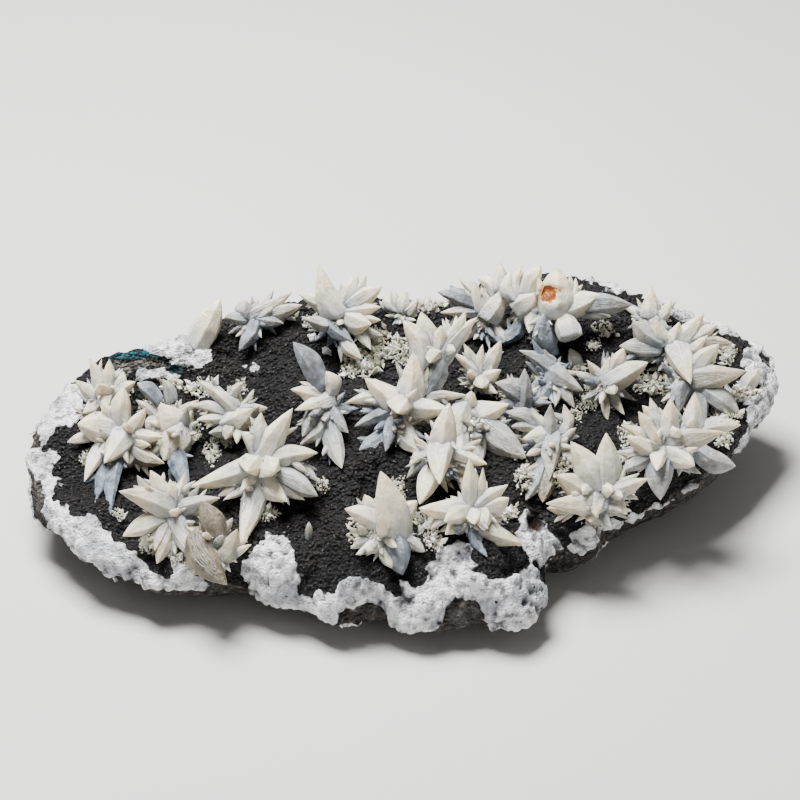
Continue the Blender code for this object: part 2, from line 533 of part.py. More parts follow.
def spray(name, shapes, cutter, finish):
    """One solid of all the shapes grown together, with the rock and its clearance cut away.

    The shortest edges where blades cross are closed up, as far as the spray stays one piece.
    """
    solid = mesh_object(name, *joined(shapes))
    apply(solid, "BOOLEAN", operation="DIFFERENCE", solver="EXACT", use_self=True, object=cutter)
    whole = largest_piece(solid.data)[0]
    for share in FACES_KEPT:
        solid.data = whole
        if len(whole.polygons) > FEW_FACES:
            apply(solid, "DECIMATE", ratio=share)
        solid.data, is_whole = largest_piece(solid.data)
        if is_whole:
            break
    solid.data.materials.append(finish)
    return solid


def main():
    clear_scene()
    basalt = material("basalt", (0.02, 0.019, 0.02), 0.9)
    cream = material("calcite_cream", (0.72, 0.68, 0.58), 0.45)
    grey = material("calcite_grey", (0.40, 0.45, 0.52), 0.5)
    frosted = material("calcite_frosted", (0.58, 0.61, 0.55), 0.6)

    bearings = np.arange(AROUND_COUNT) * 2 * np.pi / AROUND_COUNT
    rock_points, rock_faces = triangulated(*ring_mesh(*rock_surface(bearings, OUTWARD_SHARES)))
    rock_tree = BVHTree.FromPolygons([Vector(point) for point in rock_points], rock_faces)
    matrix = mesh_object("matrix", rock_points, rock_faces, basalt)
    cutter = grown(matrix, GAP)

    for name, hearts, blades in SPRAYS:
        finish = grey if name in GREY_NODES else frosted if name == "crystals_frosted" else cream
        spray(name, spray_shapes(rock_tree, hearts, blades), cutter, finish)
    bpy.data.objects.remove(cutter, do_unlink=True)


main()
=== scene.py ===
"""Calcite on basalt: the looks of a rock plate set with sprays of pointed calcite crystals.

Lengths are in mm until a mesh is made. Crystals are laid out in the front view, in mm across and up from the
view's centre on a plane through the middle of the specimen, as the camera sees them.
"""

import math

import bpy
import numpy as np
from mathutils import Matrix, Vector
from mathutils.bvhtree import BVHTree


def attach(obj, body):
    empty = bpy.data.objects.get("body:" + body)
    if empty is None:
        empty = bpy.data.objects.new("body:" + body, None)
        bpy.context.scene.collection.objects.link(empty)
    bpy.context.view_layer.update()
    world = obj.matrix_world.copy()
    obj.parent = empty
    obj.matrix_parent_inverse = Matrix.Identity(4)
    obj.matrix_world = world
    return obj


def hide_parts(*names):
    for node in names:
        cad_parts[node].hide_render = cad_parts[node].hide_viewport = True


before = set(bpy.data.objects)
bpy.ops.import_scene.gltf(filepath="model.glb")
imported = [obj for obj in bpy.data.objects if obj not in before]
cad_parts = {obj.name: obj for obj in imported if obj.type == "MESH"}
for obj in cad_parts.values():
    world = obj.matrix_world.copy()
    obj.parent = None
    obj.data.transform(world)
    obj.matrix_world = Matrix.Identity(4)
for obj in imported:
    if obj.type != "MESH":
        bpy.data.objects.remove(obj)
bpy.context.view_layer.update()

# The view: the specimen is seen from the front and above, by a long lens, on a plain pale table.
MM = 0.001
LOOK_DOWN = math.radians(35.0)
EYE_AWAY = 925.0
MIDDLE = np.array([-1.715, 7.906, 45.0])
ACROSS = np.array([1.0, 0.0, 0.0])
UP = np.array([0.0, math.sin(LOOK_DOWN), math.cos(LOOK_DOWN)])
TOWARD = np.array([0.0, -math.cos(LOOK_DOWN), math.sin(LOOK_DOWN)])
EYE = MIDDLE + TOWARD * EYE_AWAY
LENS = 110.0


def view_point(across, up, toward):
    """The point on the line of sight through this place of the front view, this far in front of its plane."""
    on_plane = MIDDLE + ACROSS * across + UP * up
    return EYE + (on_plane - EYE) * ((EYE_AWAY - toward) / EYE_AWAY)


def seen_at(points):
    """Where the front view shows each point: its offset from the eye, scaled until it reaches the plane."""
    sight = points - EYE
    sight = sight * (EYE_AWAY / -(sight @ TOWARD))[..., None] + EYE - MIDDLE
    return sight @ ACROSS, sight @ UP


def add_camera():
    """A camera at the eye whose own axes are across, up and towards."""
    data = bpy.data.cameras.new("camera")
    data.lens = LENS
    data.clip_end = 20.0
    camera = bpy.data.objects.new("camera", data)
    bpy.context.scene.collection.objects.link(camera)
    turn = Matrix([ACROSS, UP, TOWARD]).transposed().to_4x4()
    camera.matrix_world = Matrix.Translation(Vector(EYE * MM)) @ turn
    bpy.context.scene.camera = camera


add_camera()

# The rock: a plate of dark basalt, lined on top with a black velvety druse, with a white chalky crust round
# its rim. It is one grown mass. Its rim is drawn as (across, up, height), clockwise from the back left.
RIM = (
    (-128, 2, 34), (-131, -1, 33), (-134, -6, 31), (-136.5, -10, 30), (-138.5, -14, 29), (-139.5, -20, 28),
    (-139.5, -26, 27), (-138.8, -33, 26), (-137, -38, 25), (-135, -42, 25), (-131.5, -46, 24), (-128, -50, 23),
    (-124, -53.5, 22), (-120, -56.5, 22), (-116, -59, 21), (-110, -61.5, 21), (-104, -64, 20), (-98, -66.5, 20),
    (-92, -68, 19), (-86, -70, 18), (-80, -69.5, 18), (-72, -68, 18), (-64, -68.5, 18), (-59, -69, 17),
    (-54, -74.5, 16), (-40.5, -74, 16), (-33, -78, 15), (-25, -82, 14), (-15, -81, 14), (-5, -80.6, 14),
    (3.4, -83, 14), (9.5, -85, 13), (15, -84, 13), (25, -83, 14), (34, -82, 14), (43, -82.5, 15),
    (49, -81, 15), (52, -78, 16), (55.6, -71, 17), (54, -66, 18), (56, -60, 19), (61, -55, 20),
    (67, -56.5, 20), (72.6, -55.6, 20), (78, -48.4, 22), (83, -45, 23), (89, -43, 24), (95, -40, 24),
    (100.6, -38, 25), (106, -34, 25), (110, -32, 26), (118, -26.5, 28), (126, -24, 30), (127.5, -16.6, 31),
    (130.5, -11, 32), (135, -5, 33), (138, -1, 34), (140.5, 3.5, 35), (139.5, 8, 36), (138, 12, 37),
    (137, 18, 40), (135, 24, 43), (131, 25.5, 44), (125.6, 24, 45), (115, 29, 46), (104.4, 34, 47),
    (94, 38, 48), (84, 41, 49), (78, 44, 50), (72, 46, 51), (60, 45, 51), (45, 43, 51), (30, 40, 50),
    (15, 37, 49), (5, 36, 49), (-8, 36, 49), (-20, 36, 48), (-35, 35, 47), (-50, 33, 46), (-65, 29, 45),
    (-76, 21, 44), (-84, 18.5, 43), (-95, 19, 42), (-104, 17, 41), (-113, 13, 39), (-121, 8, 37),
)
# Heights of the top face inside the rim: the black dome, the hollows and the slopes, as (across, up, height).
HEIGHTS = (
    (-42, 20, 52), (-50, 26, 49), (-62, 10, 42), (-15, 12, 45), (-84, -10, 31), (-88, 2, 33), (-110, -15, 31),
    (-124, -30, 27), (-105, -48, 26), (-80, -52, 27), (-58, -22, 35), (-38, -42, 31), (-18, -50, 33),
    (-18, -66, 27), (10, -68, 26), (-45, -62, 27), (0, -12, 41), (20, -30, 38), (-5, -32, 38), (40, -45, 32),
    (50, -28, 36), (75, -28, 34), (75, -5, 37), (98, -22, 33), (60, 12, 44), (30, 15, 46), (0, 22, 48),
    (15, 30, 51), (-18, 28, 50), (55, 33, 53), (90, 25, 49), (100, 2, 40), (120, 8, 41), (25, -62, 29),
    (50, -62, 24),
)
# Where the white crust lies, as outlines in the front view. It comes up over the rim from the rock's side.
CRUST = (
    ((-128, 5), (-120, 5), (-120, -8), (-124, -10.5), (-129, -11.5), (-133, -12.5), (-134.5, -16), (-134.5, -19),
     (-130, -20), (-128.5, -22), (-129.5, -25), (-131.5, -26.5), (-132.5, -30), (-128, -30.3), (-127.5, -31.5),
     (-131, -35), (-131.5, -38), (-128, -40.5), (-125, -42), (-123, -45), (-120, -45), (-117, -42.3), (-115, -43),
     (-112.5, -47.5), (-112, -49.5), (-109.5, -50.5), (-110, -52.5), (-107, -55), (-102, -56), (-99.5, -58),
     (-97.5, -62), (-92, -65), (-88, -66.5), (-85.5, -65.5), (-86, -61.5), (-82, -61), (-79, -63.5), (-78, -66),
     (-74, -67), (-70.5, -68.5), (-72, -73), (-95, -72), (-112, -66), (-126, -57), (-134, -48), (-134, -40),
     (-135.5, -32), (-139, -29), (-143, -24), (-141, -19), (-136.5, -17), (-137, -11), (-138, -6), (-134, 2)),
    ((-50, -50.5), (-44, -50.5), (-42, -54), (-40.5, -58), (-40, -64), (-37, -66), (-37, -69), (-39, -71),
     (-36, -73.5), (-31, -75), (-33, -82), (-42, -80), (-56, -78), (-57, -70), (-60, -66), (-59.5, -61), (-55, -58),
     (-52, -54)),
    ((-34, -75), (-30.5, -72), (-23, -72.5), (-22, -68), (-14, -67.5), (-8, -68.5), (-6, -70), (-4.5, -72.5),
     (-2, -73.5), (0.5, -73.5), (0, -70.5), (0, -68), (3, -68), (4, -71), (6.5, -71.5), (10, -69), (11, -66),
     (9.5, -62), (12.5, -60.5), (15, -56.5), (19, -54), (24, -52), (27, -54), (28, -57), (26.5, -60), (28.5, -62.5),
     (28, -65), (33, -67.5), (39, -68), (43, -66), (48, -64), (49.5, -62), (51, -64.5), (52, -68), (55, -71),
     (60, -73), (56, -80), (48, -88), (34, -88), (31, -80), (29, -76), (22, -75.5), (18, -77.5), (17, -81),
     (14.5, -89), (8, -89), (-3, -87), (-6, -80), (-10, -77.5), (-18, -77.5), (-22, -78.5), (-24, -87), (-34, -84)),
    ((44, -50.5), (44, -45), (47, -42.5), (50, -42.5), (55, -45), (57, -48.5), (59, -52), (61.5, -56), (57, -58.5),
     (55, -61.5), (53, -63.5), (50, -61), (46, -57), (44, -54)),
    ((63, -56.5), (65, -52), (67, -49), (70, -47.5), (73, -46), (77, -45.5), (84, -44.5), (90, -42.8), (96, -39.5),
     (103, -36), (105, -37.5), (97, -41.5), (90, -45), (82, -48.5), (76, -49.5), (75, -53), (73, -57.5)),
    ((106, -33.5), (112, -31), (112, -33), (106, -36)),
    ((129.5, 23.5), (124, 24), (119, 26), (112, 28.5), (104, 31), (98, 33), (92, 37), (92, 43), (104, 38), (120, 31),
     (131, 29), (137, 28), (136, 22), (135.5, 16), (138, 13), (142, 13), (145, 4), (139, -4), (135, -10), (131.5, -14),
     (129, -22), (125.8, -25), (126.5, -17), (129.5, -12), (131.5, -7), (131, -2.5), (127, -1.5), (122, 4.5),
     (124, 5.8), (128, 1.5), (133, 1), (136, 3), (133, 8), (130, 12), (129, 15), (130, 19.5), (133, 20), (132.5, 23)),
    ((66, 46), (70, 50), (78, 49), (85, 43), (84, 40), (80, 40.5), (74, 43.5), (70, 44.5)),
    ((-97, 16.6), (-97, 22), (-78, 22), (-72, 19), (-72, 14.5), (-75, 12.5), (-79, 12.2), (-83, 13), (-88, 14.5),
     (-89, 16)),
    ((-100, 7.6), (-100, 11.8), (-96, 12.7), (-90, 12.2), (-85, 10.5), (-83, 8.8), (-86, 7.6), (-92, 8.2)),
    ((-60, 12.6), (-58.4, 15), (-57.6, 13), (-58.8, 11.8)),
    ((-56.8, 10.4), (-54.8, 13), (-53.2, 12), (-54.2, 9.6), (-56, 9.4)),
    ((-35, 23.6), (-32, 25), (-31, 22.6), (-33.4, 21.6)),
    ((-29.6, 18.8), (-27.4, 19.8), (-26.6, 17.8), (-28.6, 17.2)),
    ((70, 21.6), (72, 22.6), (75.6, 19.6), (74.8, 18.6), (71.6, 19.8)),
)
# A round pit in the crust, lined with brown: its middle in the front view, half its width, and its depth.
PIT_AT, PIT_HALF, PIT_DEEP = (50.8, -46.6), 3.5, 3.0
# Bare basalt on the front view's side of the rim, and the stains there: teal, and brown.
BARE = (
    ((-136.5, -8), (-134.5, -13), (-135, -19), (-137.5, -20.5), (-137.2, -27), (-134.2, -32), (-132.8, -40),
     (-130, -46), (-136, -54), (-150, -40), (-150, -10)),
    ((-20, -77.5), (-12, -76.8), (-7, -78), (-5, -84), (-22, -84)),
    ((18, -77), (23, -75.2), (29, -75.6), (31, -80), (32, -88), (17, -86)),
    ((74.2, -49.2), (78.4, -47.8), (79, -55), (74, -57)),
    ((135.5, 22), (137, 24), (142, 20), (141, 13), (138, 13.2), (136, 16)),
    ((-111, 14.5), (-98, 16), (-89.5, 15.4), (-89, 13), (-100, 12.2), (-104, 9.2), (-110, 9)),
    ((-57, -56.5), (-54.5, -57), (-54.8, -52.5), (-59, -51), (-62, -54)),
)
TEAL = (
    ((-110, 15.2), (-98, 16.2), (-89.5, 15.6), (-89.5, 16.8), (-97, 17.8), (-104, 17.6), (-110, 18)),
    ((-88.5, 10.6), (-87, 12.8), (-82.4, 13), (-82.2, 10.6), (-85, 9.8)),
)
HUB = MIDDLE[:2] + (8.0, -22.0)
SHOULDER_START, SHOULDER_DROP, SHOULDER_SMOOTH = 0.90, 7.0, 0.7
UNDERSIDE = ((0.985, 0.70), (0.92, 0.40), (0.79, 0.15), (0.56, 0.0))
UNDERSIDE_LUMPS = 0.6
AROUND_COUNT = 60
OUTWARD_SHARES = (0.14, 0.27, 0.39, 0.50, 0.60, 0.69, 0.78, 0.86, 0.93, 0.97)
LUMP_LENGTHS = (46.0, 34.0, 27.0, 21.0)
LUMP_HEIGHT_SHARE = 0.028
WAVES_EACH = 5
RIM_ROW = len(OUTWARD_SHARES) + 1


def point_at_height(across, up, height):
    """The point on the line of sight through this place of the front view whose z is the height."""
    sight = MIDDLE + ACROSS * across + UP * up - EYE
    return EYE + sight * ((height - EYE[2]) / sight[2])


def smooth_field(places, heights):
    """The thin plate through the heights: a sum of r squared log r about each place, plus a tilted plane."""
    count = len(places)

    def bending(squared):
        return 0.5 * squared * np.log(np.maximum(squared, 1e-9))

    between = ((places[:, None] - places[None]) ** 2).sum(axis=2)
    flat = np.column_stack([np.ones(count), places])
    left = np.block([[bending(between), flat], [flat.T, np.zeros((3, 3))]])
    weights = np.linalg.solve(left, np.concatenate([heights, np.zeros(3)]))

    def field(x, y):
        squared = (x[..., None] - places[:, 0]) ** 2 + (y[..., None] - places[:, 1]) ** 2
        tilt = weights[count] + weights[count + 1] * x + weights[count + 2] * y
        return bending(squared) @ weights[:count] + tilt

    return field


def lumps(x, y, z):
    """The rock's broad lumps: a sum of plane sine waves in fixed random directions."""
    source = np.random.default_rng(7)
    x, y = x - MIDDLE[0], y - MIDDLE[1]
    total = np.zeros_like(x)
    for length in LUMP_LENGTHS:
        for _ in range(WAVES_EACH):
            direction = source.normal(size=3)
            direction *= 2 * np.pi / (length * np.linalg.norm(direction))
            phase = source.uniform(0, 2 * np.pi)
            wave = np.sin(direction[0] * x + direction[1] * y + direction[2] * z + phase)
            total += LUMP_HEIGHT_SHARE * length * wave
    return total


def rock_rows():
    """The rock as rows of points at even bearings: the hub, rings out to the rim, rings down to the flat, its hub.

    A ring is a share of the rim's reach at each bearing. Its height is the smooth field's, less a drop over
    the shoulder that grows with the square of the way into it, plus the lumps.
    """
    bearings = np.arange(AROUND_COUNT) * 2 * np.pi / AROUND_COUNT
    rim = np.array([point_at_height(*place) for place in RIM])
    offset = rim[:, :2] - HUB
    bearing = np.arctan2(offset[:, 1], offset[:, 0])
    order = np.argsort(bearing)
    bearing, reach, height = bearing[order], np.hypot(*offset[order].T), rim[order, 2]
    reach = np.interp(bearings, bearing, reach, period=2 * np.pi)
    height = np.interp(bearings, bearing, height, period=2 * np.pi)
    ring = np.array([*OUTWARD_SHARES, 1.0])[:, None]
    x = HUB[0] + ring * reach * np.cos(bearings)
    y = HUB[1] + ring * reach * np.sin(bearings)
    inside = np.array([point_at_height(*place) for place in HEIGHTS])
    places = np.vstack([inside[:, :2], np.column_stack([x[-1], y[-1]])[::2]])
    field = smooth_field(places, np.concatenate([inside[:, 2], (height + SHOULDER_DROP)[::2]]))
    turn = np.clip((ring - SHOULDER_START) / (1 - SHOULDER_START), 0, 1)
    z = field(x, y) - SHOULDER_DROP * turn**2
    z += lumps(x, y, z) * (1 - SHOULDER_SMOOTH * turn)
    hub_height = field(HUB[:1], HUB[1:])[0]
    rows = [np.tile([*HUB, hub_height], (1, AROUND_COUNT, 1)), np.stack([x, y, z], axis=2)]
    for share, level in UNDERSIDE:
        side_x = HUB[0] + share * reach * np.cos(bearings)
        side_y = HUB[1] + share * reach * np.sin(bearings)
        side_z = level * z[-1]
        bulge = UNDERSIDE_LUMPS * lumps(side_x, side_y, side_z) * (level > 0)
        side_x = side_x + bulge * np.cos(bearings)
        side_y = side_y + bulge * np.sin(bearings)
        rows.append(np.stack([side_x, side_y, side_z], axis=1)[None])
    rows.append(np.tile([*HUB, 0.0], (1, AROUND_COUNT, 1)))
    return np.concatenate(rows)


def spline_weights(step):
    """Catmull-Rom weights of the four neighbours, for a place this far between the middle two."""
    square, cube = step**2, step**3
    return np.stack([
        (-cube + 2 * square - step) / 2,
        (3 * cube - 5 * square + 2) / 2,
        (-3 * cube + 4 * square + step) / 2,
        (cube - square) / 2,
    ])


def rock_at(row, bearing):
    """The rock between its rows: a Catmull-Rom spline along both the rows and the bearings."""
    row = np.clip(row, 0, len(ROCK_ROWS) - 1.001)
    column = bearing / (2 * np.pi) * AROUND_COUNT
    row_floor, column_floor = np.floor(row).astype(int), np.floor(column).astype(int)
    row_weights = spline_weights(row - row_floor)
    column_weights = spline_weights(column - column_floor)
    total = 0.0
    for j in range(4):
        near = np.clip(row_floor + j - 1, 0, len(ROCK_ROWS) - 1)
        for k in range(4):
            weight = row_weights[j] * column_weights[k]
            total = total + weight[..., None] * ROCK_ROWS[near, (column_floor + k - 1) % AROUND_COUNT]
    return total


ROCK_ROWS = rock_rows()


def scrambled(cells, seed):
    """A number from 0 to 1 for each whole-number cell, with no visible pattern: its coordinates, mixed."""
    cells = cells.astype(np.int64).astype(np.uint64)
    mixed = cells[..., 0] * np.uint64(374761393) + cells[..., 1] * np.uint64(668265263)
    mixed = mixed + cells[..., 2] * np.uint64(2246822519) + np.uint64(seed * 3266489917)
    mixed = (mixed ^ (mixed >> np.uint64(15))) * np.uint64(2654435761)
    mixed = (mixed ^ (mixed >> np.uint64(17))) * np.uint64(1597334677)
    return ((mixed >> np.uint64(20)) & np.uint64(0xFFFFFF)).astype(float) / 0xFFFFFF


def clouds(points, size, seed):
    """Smooth noise from -1 to 1: random numbers at the corners of cells this big, blended with an eased step."""
    places = points / size
    cell = np.floor(places)
    step = places - cell
    step = step * step * (3 - 2 * step)
    total = 0.0
    for corner in np.ndindex(2, 2, 2):
        weight = np.prod(np.where(corner, step, 1 - step), axis=-1)
        total = total + weight * scrambled(cell + corner, seed)
    return total * 2 - 1


def knobs(points, size, seed):
    """Rounded knobs, 0 in the creases to 1 on top: one seed point in each cell, and 1 less the square of the
    distance to the nearest, in cells."""
    places = points / size
    cell = np.floor(places)
    nearest = np.full(points.shape[:-1], 9.0)
    for corner in np.ndindex(3, 3, 3):
        other = cell + corner - 1
        at = np.stack([scrambled(other, seed + k) for k in range(3)], axis=-1)
        nearest = np.minimum(nearest, ((other + at - places) ** 2).sum(axis=-1))
    return np.clip(1 - nearest, 0, 1)


def depth_inside(across, up, outlines):
    """How far inside the nearest of the outlines each place of the front view is, in mm: below 0 is outside.

    The distance is that to the nearest edge, and a place is inside where a line out of it crosses the edges an
    odd number of times.
    """
    best = np.full(across.shape, -1e3)
    for outline in outlines:
        near = np.full(across.shape, 1e6)
        inside = np.zeros(across.shape, bool)
        for (x0, y0), (x1, y1) in zip(outline, outline[1:] + outline[:1]):
            wide, high = x1 - x0, y1 - y0
            along = np.clip(((across - x0) * wide + (up - y0) * high) / (wide**2 + high**2), 0, 1)
            near = np.minimum(near, np.hypot(across - x0 - along * wide, up - y0 - along * high))
            if high:
                inside ^= ((y0 > up) != (y1 > up)) & (across < x0 + (up - y0) * wide / high)
        best = np.maximum(best, np.where(inside, near, -near))
    return best


def grid_faces(rows, columns, first=0, closed=True):
    """Quads between neighbouring rows of a grid of points, and round it where it is closed."""
    row = np.arange(rows - 1)[:, None] * columns
    column = np.arange(columns if closed else columns - 1)
    after = (column + 1) % columns
    corners = [row + column, row + after, row + columns + after, row + columns + column]
    return first + np.stack(corners, axis=-1).reshape(-1, 4)


def fan_faces(ring, pole):
    """Triangles from each edge of a closed ring of points to the pole."""
    return np.stack([ring, np.roll(ring, -1), np.full(len(ring), pole)], axis=1)


def add_piece(name, points, quads, triangles, materials, attributes=None):
    """A smooth mesh object of these points (mm) and faces, at the origin, with a number for each point."""
    mesh = bpy.data.meshes.new(name)
    corners = np.concatenate([quads.ravel(), triangles.ravel()]).astype(np.int32)
    starts = np.concatenate([
        np.arange(len(quads)) * 4,
        quads.size + np.arange(len(triangles)) * 3,
    ]).astype(np.int32)
    mesh.vertices.add(len(points))
    mesh.vertices.foreach_set("co", (points * MM).astype(np.float32).ravel())
    mesh.loops.add(len(corners))
    mesh.loops.foreach_set("vertex_index", corners)
    mesh.polygons.add(len(starts))
    mesh.polygons.foreach_set("loop_start", starts)
    mesh.polygons.foreach_set("use_smooth", np.ones(len(starts), bool))
    for key, values in (attributes or {}).items():
        kind, slot_name = ("FLOAT", "value") if values.ndim == 1 else ("FLOAT_VECTOR", "vector")
        layer = mesh.attributes.new(key, kind, "POINT")
        layer.data.foreach_set(slot_name, values.astype(np.float32).ravel())
    for one in materials:
        mesh.materials.append(one)
    mesh.update(calc_edges=True)
    obj = bpy.data.objects.new(name, mesh)
    bpy.context.scene.collection.objects.link(obj)
    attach(obj, "root")
    return obj


def linear(colour):
    """The linear colour of an sRGB hex value: each channel to the power 2.4, past a short straight start."""
    channels = [int(colour[k:k + 2], 16) / 255 for k in (1, 3, 5)]
    return tuple(c / 12.92 if c <= 0.04045 else ((c + 0.055) / 1.055) ** 2.4 for c in channels) + (1.0,)


def new_material(name):
    """A material with a Principled BSDF, and its node tree and shader."""
    made = bpy.data.materials.new(name)
    made.use_nodes = True
    return made, made.node_tree, made.node_tree.nodes["Principled BSDF"]


def add_node(tree, kind, settings=None, **inputs):
    """A node with its settings, its inputs given as values or as the sockets that feed them."""
    node = tree.nodes.new(kind)
    for key, value in (settings or {}).items():
        setattr(node, key, value)
    for key, value in inputs.items():
        socket = node.inputs[int(key[1:])] if key[0] == "_" else node.inputs[key.replace("_", " ")]
        if isinstance(value, bpy.types.NodeSocket):
            tree.links.new(value, socket)
        else:
            socket.default_value = value
    return node


def ramp(tree, factor, *stops):
    """A colour ramp through (place, sRGB hex) stops."""
    node = add_node(tree, "ShaderNodeValToRGB", _0=factor)
    elements = node.color_ramp.elements
    while len(elements) < len(stops):
        elements.new(0.5)
    for element, (place, colour) in zip(elements, stops):
        element.position = place
        element.color = linear(colour)
    return node.outputs["Color"]


def mixed(tree, factor, one, other):
    """The one colour, turning into the other as the factor goes from 0 to 1."""
    node = add_node(tree, "ShaderNodeMix", {"data_type": "RGBA"}, _0=factor)
    for index, value in ((6, one), (7, other)):
        if isinstance(value, bpy.types.NodeSocket):
            tree.links.new(value, node.inputs[index])
        else:
            node.inputs[index].default_value = linear(value)
    return node.outputs[2]


def rock_material():
    """Black druse, white crust, bare basalt and a teal stain on one rock, told apart by the mesh's attributes.

    The druse is a velvet of black crystals under 1 mm. Pale specks on its grain are painted glints off their faces,
    its low places are painted near black as shade and its high knobs painted lighter as highlight. The crust is
    chalky and porous, white, with painted grey shade in its hollows and low places, and dark spots painted as the
    shade inside its pores. The basalt is grey-brown, rough, with paler specks.
    """
    made, tree, shader = new_material("basalt with black druse and white crust")
    place = add_node(tree, "ShaderNodeTexCoord").outputs["Object"]
    grain = add_node(tree, "ShaderNodeTexNoise", Vector=place, Scale=1100.0, Detail=3.0).outputs["Fac"]
    coarse = add_node(tree, "ShaderNodeTexNoise", Vector=place, Scale=330.0, Detail=4.0).outputs["Fac"]
    patches = add_node(tree, "ShaderNodeTexNoise", Vector=place, Scale=75.0, Detail=4.0).outputs["Fac"]
    cells = add_node(tree, "ShaderNodeTexVoronoi", {"feature": "SMOOTH_F1"}, Vector=place, Scale=800.0)
    pores = add_node(tree, "ShaderNodeTexVoronoi", Vector=place, Scale=260.0).outputs["Distance"]
    pores = add_node(tree, "ShaderNodeMath", {"operation": "MULTIPLY_ADD"}, _0=patches, _1=1.0, _2=pores).outputs[0]
    # Painted glints: the pale top of this ramp, at the grain's peaks, is painted highlight off the druse's tiny faces;
    # below it is the druse's black grain.
    black = ramp(tree, grain, (0.38, "#040404"), (0.56, "#100f10"), (0.66, "#2e2c2d"), (0.74, "#8a8587"))
    brown = ramp(tree, grain, (0.38, "#080606"), (0.60, "#1c1715"), (0.74, "#4a413c"))
    druse = mixed(tree, ramp(tree, patches, (0.50, "#000000"), (0.68, "#ffffff")), black, brown)
    height = add_node(tree, "ShaderNodeAttribute", {"attribute_name": "height"}).outputs["Fac"]
    # Painted shade: the druse's low places, by the relief's height, are darkened to near black.
    druse = mixed(tree, ramp(tree, height, (0.34, "#ffffff"), (0.47, "#000000")), druse, "#010101")
    # Painted highlight: the druse's high knobs, by the relief's height, are lightened.
    druse = mixed(tree, ramp(tree, height, (0.52, "#000000"), (0.68, "#9a9a9a")), druse, "#282526")
    # Painted shade: the chalk is grey where the coarse noise is low, which is where its bump is low, and white on top.
    chalk = ramp(tree, coarse, (0.33, "#8e8d91"), (0.44, "#dcdcdf"), (0.54, "#ffffff"))
    chalk = mixed(tree, ramp(tree, patches, (0.36, "#ffffff"), (0.52, "#000000")), chalk, "#b4b5ba")
    # Painted shade: the crust's low places, by the relief's height, are darkened grey.
    chalk = mixed(tree, ramp(tree, height, (0.44, "#ffffff"), (0.62, "#000000")), chalk, "#6a6a6f")
    # Dark pores: brownish dark spots painted as the shade inside small pores, which the mesh does not have.
    crust = mixed(tree, ramp(tree, pores, (0.48, "#ffffff"), (0.55, "#000000")), chalk, "#2b2725")
    bare = ramp(tree, coarse, (0.3, "#1f1c1b"), (0.52, "#4c4743"), (0.66, "#75706a"), (0.74, "#a9a6a0"))
    part = {}
    for key in ("crust", "bare", "teal"):
        part[key] = add_node(tree, "ShaderNodeAttribute", {"attribute_name": key}).outputs["Fac"]
        ragged = add_node(tree, "ShaderNodeMath", {"operation": "MULTIPLY_ADD"}, _0=coarse, _1=0.5, _2=part[key])
        part[key] = ramp(tree, ragged.outputs[0], (0.72, "#000000"), (0.77, "#ffffff"))
    colour = mixed(tree, part["bare"], druse, bare)
    colour = mixed(tree, part["crust"], colour, crust)
    colour = mixed(tree, part["teal"], colour, ramp(tree, coarse, (0.4, "#0a252c"), (0.6, "#1a525a")))
    pit = add_node(tree, "ShaderNodeAttribute", {"attribute_name": "pit"}).outputs["Fac"]
    colour = mixed(tree, pit, colour, ramp(tree, coarse, (0.35, "#0d0805"), (0.65, "#2e1d12")))
    tree.links.new(colour, shader.inputs["Base Color"])
    rough = ramp(tree, grain, (0.5, "#e6e6e6"), (0.75, "#a0a0a0"))
    tree.links.new(mixed(tree, part["crust"], rough, "#eeeeee"), shader.inputs["Roughness"])
    shader.inputs["Specular IOR Level"].default_value = 0.3
    knobby = add_node(tree, "ShaderNodeMath", {"operation": "MULTIPLY_ADD"}, _0=cells.outputs["Distance"], _1=-1.5,
                      _2=grain).outputs[0]
    popcorn = mixed(tree, grain, ramp(tree, coarse, (0.3, "#000000"), (0.7, "#d0d0d0")), "#ffffff")
    knobby = mixed(tree, part["crust"], knobby, popcorn)
    bump = add_node(tree, "ShaderNodeBump", Height=knobby, Strength=1.0, Distance=0.0034)
    tree.links.new(bump.outputs["Normal"], shader.inputs["Normal"])
    return made


TOP_COLUMNS, TOP_ROWS = 334, 192
SIDE_ROWS = 30


def disc_grid(columns, rows):
    """A square grid laid over a disc: its squares within squares become circles within circles.

    The reach is the larger of the two coordinates, and the bearing goes evenly round each square.
    """
    a, b = np.meshgrid(np.linspace(-1, 1, columns), np.linspace(-1, 1, rows))
    wide = np.abs(a) > np.abs(b)
    safe_a, safe_b = np.where(a == 0, 1e-9, a), np.where(b == 0, 1e-9, b)
    reach = np.where(wide, a, b)
    bearing = np.where(wide, np.pi / 4 * b / safe_a, np.pi / 2 - np.pi / 4 * a / safe_b)
    return np.abs(reach), np.where(reach < 0, bearing + np.pi, bearing) % (2 * np.pi)


def border(columns, rows):
    """The grid's outer points in order, turning anticlockwise from its first corner."""
    index = np.arange(columns * rows).reshape(rows, columns)
    return np.concatenate([index[0, :-1], index[:-1, -1], index[-1, :0:-1], index[:0:-1, 0]])


def normals_of(points, quads):
    """The unit normal at each point: the sum of its quads' normals, from their diagonals."""
    across = points[quads[:, 2]] - points[quads[:, 0]]
    along = points[quads[:, 3]] - points[quads[:, 1]]
    face = np.cross(across, along)
    total = np.zeros_like(points)
    for k in range(4):
        for axis in range(3):
            total[:, axis] += np.bincount(quads[:, k], face[:, axis], len(points))
    return total / np.maximum(np.linalg.norm(total, axis=1), 1e-9)[:, None]


